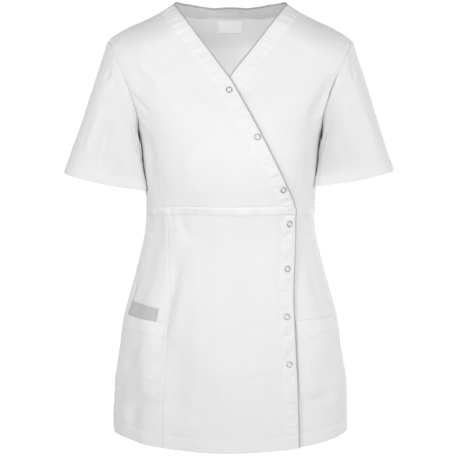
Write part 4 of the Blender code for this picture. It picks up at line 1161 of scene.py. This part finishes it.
def sleeve(side):
    """A set-in sleeve from the armhole seam down to its hem."""
    flip, seed = (-1, 60) if side == "right" else (1, 80)
    front, back = (spaced(line, SLEEVE_AROUND // 2 + 1)
                   for line in (armhole_front, armhole_back))
    loop = np.concatenate([front, back[-2:0:-1]])
    round_ = 2 * math.pi * np.arange(len(loop)) / len(loop)
    cosine, sine = np.cos(round_), np.sin(round_)
    low = (1 - cosine) / 2
    stand = np.minimum(seam_work(bare_form(loop)), 0) + 0.0012 * smooth_step(low * 1.3)
    start = bare_form(loop) + form_normal(loop) * stand[:, None]
    leave = unit(np.stack([0.80 - 0.70 * low ** 2, -0.10 * sine, -0.60 - 0.40 * low], axis=-1))
    outer, inner = (np.array([x, 0, z]) for x, z in CUFFS[side])
    corner = smooth_step(-2 * cosine * sine)
    wide, deep = (np.sign(f) * np.abs(f) ** (CUFF_SQUARE - CUFF_CORNER * corner)
                  for f in (cosine, sine))
    end = ((outer + inner) / 2 + wide[:, None] * (outer - inner) / 2
           - deep[:, None] * (0, CUFF_DEPTH, 0) + corner[:, None] * CUFF_SHIFT)
    chord = end - start
    pull = np.linalg.norm(chord, axis=1, keepdims=True) * (0.16 + 0.40 * low[:, None])
    t = spread(SLEEVE_ROWS)[:, None, None]
    points = (start * (2 * t ** 3 - 3 * t ** 2 + 1) + leave * pull * (t ** 3 - 2 * t ** 2 + t)
              + end * (3 * t ** 2 - 2 * t ** 3) + chord * 0.85 * (t ** 3 - t ** 2))
    normals = unit(np.cross(np.roll(points, -1, axis=1) - np.roll(points, 1, axis=1),
                            np.gradient(points, axis=0)))
    down = run_along(points)
    up, turn = down[-1:] - down, round_[None] + 0 * down
    cap = 0.0004 + 0.0009 * smooth_step((0.75 - low) / 0.5)
    rise = (crease_rise(SLEEVE_CREASES[side], turn, down, SLEEVE_GIRTH)
            + 0.00060 * swell(points, 0.080, seed) + 0.00012 * swell(points, 0.028, 4)
            + cap * smooth_step(down / 0.004) * smooth_step((0.022 - down) / 0.018)
            + 0.00034 * uneven(turn * SLEEVE_GIRTH / 0.0085, seed + 1)
            * hump(down - 0.006, 0.010)
            + hem_work(up, CUFF_HEM_DEEP, turn * CUFF_GIRTH, 0.0080, seed + 2, CUFF_PUCKER,
                       0.012))
    points = points + normals * (rise * smooth_step(down / 0.003))[..., None]
    body = cloth_surface(place(turn_beside(points) * flip, points[..., 2]), "side")[0]
    short = np.clip(np.abs(body[..., 0]) + CLEAR_OF_BODY - points[..., 0], 0, 0.012)
    points[..., 0] += (short * smooth_step((FREE_LEVEL - points[..., 2]) / 0.008)
                       * smooth_step((low - 0.45) / 0.2) * smooth_step(down / 0.004))
    points, normals = points * (flip, 1, 1), normals * (flip, 1, 1)
    # painted shade inside and outside the sleeve, deeper in its crook; painted light on its hem
    made = shell(f"{side}_sleeve", points, normals, WHITE_CLOTH, closed=True,
                 inside=HEM_PLY * (up < CUFF_HEM_DEEP), double=up < CUFF_HEM_DEEP,
                 shade=SLEEVE_PAINTED_SHADE, outer_painted_shade=OUTER_PAINTED_SHADE + CROOK_PAINTED_SHADE[side]
                 * hump(turn - 2.1, 0.45) * smooth_step(up / 0.04))
    # the line of the hem's stitches, found on the finished cloth
    each = np.arange(len(loop))
    row = np.array([np.interp(CUFF_HEM_DEEP, up[::-1, k], np.arange(len(up))[::-1])
                    for k in each])
    i, ways = row.astype(int), normals[row.astype(int), each]
    hem = between(points[i, each], points[i + 1, each], (row % 1)[:, None]) + ways * STITCH_LIFT
    return made, tuple(np.concatenate([line, line[:1]]) for line in (hem, ways))


sleeve_hems = []
for side in CUFFS:
    pieces[f"{side}_sleeve"], hem = sleeve(side)
    sleeve_hems.append(hem)


# ---------------------------------------------------------------- stitches
def on_panel(line, name):
    """The stretches of a line that lie on a panel, as stitch lines."""
    places, side = PANELS[name]
    line = spaced(line, 400)
    grid = bare_form(places).reshape(-1, 3)
    within = [((grid - point) ** 2).sum(axis=1).min() < ON_PANEL ** 2
              for point in bare_form(line)]
    surface, normals = cloth_surface(line, side, STITCH_LIFT)
    found, start = [], None
    for k, there in enumerate([*within, False]):
        if there and start is None:
            start = k
        if not there and start is not None:
            if k - start > 4:
                found.append((surface[start:k], normals[start:k]))
            start = None
    return found


stitch_lines = []
for panel in ("right_front_bodice", "right_front_skirt"):
    for offset in (FACING_DEEP, EDGE_STITCH):
        stitch_lines += on_panel(inset(wrap_run, offset, (-0.4, -0.30)), panel)
for offset in (FACING_DEEP, EDGE_STITCH):
    stitch_lines += on_panel(inset(tucked, offset, (0.6, -0.12)), "left_front_bodice")
stitch_lines += on_panel(inset(spaced(princess, 300), EDGE_STITCH, (-0.3, -0.5)),
                         "right_front_skirt")
for panel in ("right_front_skirt", "right_side_front", "left_front_skirt"):
    stitch_lines += on_panel(level_line(under_bust_level, -1.5, 1.5, -EDGE_STITCH), panel)
    stitch_lines += on_panel(level_line(hem_level, -1.55, 1.55, HEM_DEEP), panel)
stitch_lines += on_panel(level_line(hem_level, 1.5, 4.78, HEM_DEEP), "back")
stitch_lines += on_panel(facing_foot, "back") + sleeve_hems + pocket_stitches

# ---------------------------------------------------------------- snaps
SNAP_NUMBERS = range(1, len(SNAPS) + 1)
rings, back_rings = (
    [(points[[k]], normals[[k]]) for k in range(len(SNAPS))] for points, normals in (
        cloth_surface(snap_places, "over", CLOTH / 2 + RING_HIGH * 0.42),
        cloth_surface(snap_places, "under", -CLOTH / 2 - RING_HIGH * 0.42)))

# ================================================================ the frame
for name, piece in pieces.items():
    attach(piece, "root")
    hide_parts(name)
for name, tree, lines, finish, slot, node in (
        ("stitches_white", LOCKSTITCHES, stitch_lines, SPUN_THREAD, "white_cloth", None),
        ("stitches_grey", LOCKSTITCHES, tab_stitches, GREY_CLOTH, "grey_cloth", None),
        ("snap_rings", RING_SNAPS, rings, NICKEL, "snap_metal", "snap_ring"),
        ("snap_backs", RING_SNAPS, back_rings, NICKEL, "snap_metal", "snap_back")):
    sewn_on = grown(name, tree, lines, finish)
    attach(sewn_on, "root")
    if node:
        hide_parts(*[f"{node}_{k}" for k in SNAP_NUMBERS])
for k in SNAP_NUMBERS:
    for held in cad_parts[f"snap_core_{k}"].material_slots:
        held.material = NICKEL

# ================================================================ the studio
FLOOR_LEVEL, FLOOR_RADIUS = -1.5, 2.4
# matt floor paint, rolled on: pale and even, with a faint mottle
floor_paint, tree, feed = material("pale matt floor paint", 0.9)
mottle = add(tree, "TexNoise", Vector=add(tree, "TexCoord", out="Object"), Scale=3)
feed(Base_Color=add(tree, "Mix", MIX, 2, Factor=mottle, in6="#E8E8E8", in7="#ECECEC"))
turns = np.linspace(0, 2 * math.pi, 96, endpoint=False)
floor = finished("floor", np.stack([FLOOR_RADIUS * np.cos(turns), FLOOR_RADIUS * np.sin(turns),
                                    0 * turns + FLOOR_LEVEL], axis=-1),
                 [range(96)], floor_paint)

# white walls behind and beside the garment, a dimmer one where the camera
# stands, and dimmer still overhead and low on the left
scene = bpy.context.scene
scene.world = bpy.data.worlds.new("soft studio")
scene.world.use_nodes = True
tree = scene.world.node_tree
tree.nodes.clear()
way_out = add(tree, "TexCoord", out="Generated")
way = add(tree, "SeparateXYZ", out=None, Vector=way_out).outputs
low_left = add(tree, "VectorMath", {"operation": "DOT_PRODUCT"}, "Value", in0=way_out,
               in1=(-0.90, 0.0, -0.44))
before, behind, overhead, flag = (
    add(tree, "MapRange", {"interpolation_type": "SMOOTHSTEP"}, Value=value,
        From_Min=start, From_Max=end, To_Min=first, To_Max=last)
    for value, start, end, first, last in (
        (way["Y"], -0.95, -0.65, 0.60, 1.04), (way["Y"], 0.60, 0.93, 0.0, 0.03),
        (way["Z"], 0.15, 0.85, 1.0, 0.20), (low_left, 0.35, 0.95, 1.0, 0.76)))
walls = add(tree, "Math", PLUS, in0=before, in1=behind)
upper = add(tree, "Math", TIMES, in0=overhead, in1=walls)
strength = add(tree, "Math", TIMES, in0=upper, in1=flag)
add(tree, "OutputWorld", out=None,
    Surface=add(tree, "Background", Color=(1, 1, 1, 1), Strength=strength))


def aimed(name, data, spot, target):
    made = linked(name, data)
    made.location = spot
    made.rotation_euler = (Vector(target) - Vector(spot)).to_track_quat("-Z", "Y").to_euler()
    return made


TARGET, CAMERA_FAR, CAMERA_HIGH = (-0.0024, 0.0, -0.370), 2.5, math.radians(8)
# key from the upper left and fill from the right, both pooled on the middle, and
# one that rakes the back; the last is the light that comes through the white
# cloth into its hollow
for name, size, power, angle, spot, target in (
        ("key softbox", 0.70, 1.84, 56, (-1.10, -1.90, 0.62), (0, 0, -0.31)),
        ("fill softbox", 1.20, 1.76, 56, (1.15, -1.90, -0.20), (0.02, 0, -0.37)),
        ("back softbox", 0.70, 9.0, 180, (1.35, 1.70, 0.10), (0, 0, -0.37)),
        ("light through the cloth", 0.16, 0.25, 180, (0, -0.05, -0.27), (0, 0.09, -0.17))):
    softbox = bpy.data.lights.new(name, "AREA")
    softbox.shape, softbox.size, softbox.energy = "SQUARE", size, power
    softbox.spread = math.radians(angle)
    aimed(name, softbox, spot, target)

lens = bpy.data.cameras.new("camera")
lens.sensor_width, lens.lens = 36.0, 118.2
scene.camera = aimed("camera", lens, (TARGET[0], -CAMERA_FAR * math.cos(CAMERA_HIGH),
                                      TARGET[2] + CAMERA_FAR * math.sin(CAMERA_HIGH)), TARGET)
scene.view_settings.view_transform = "Standard"
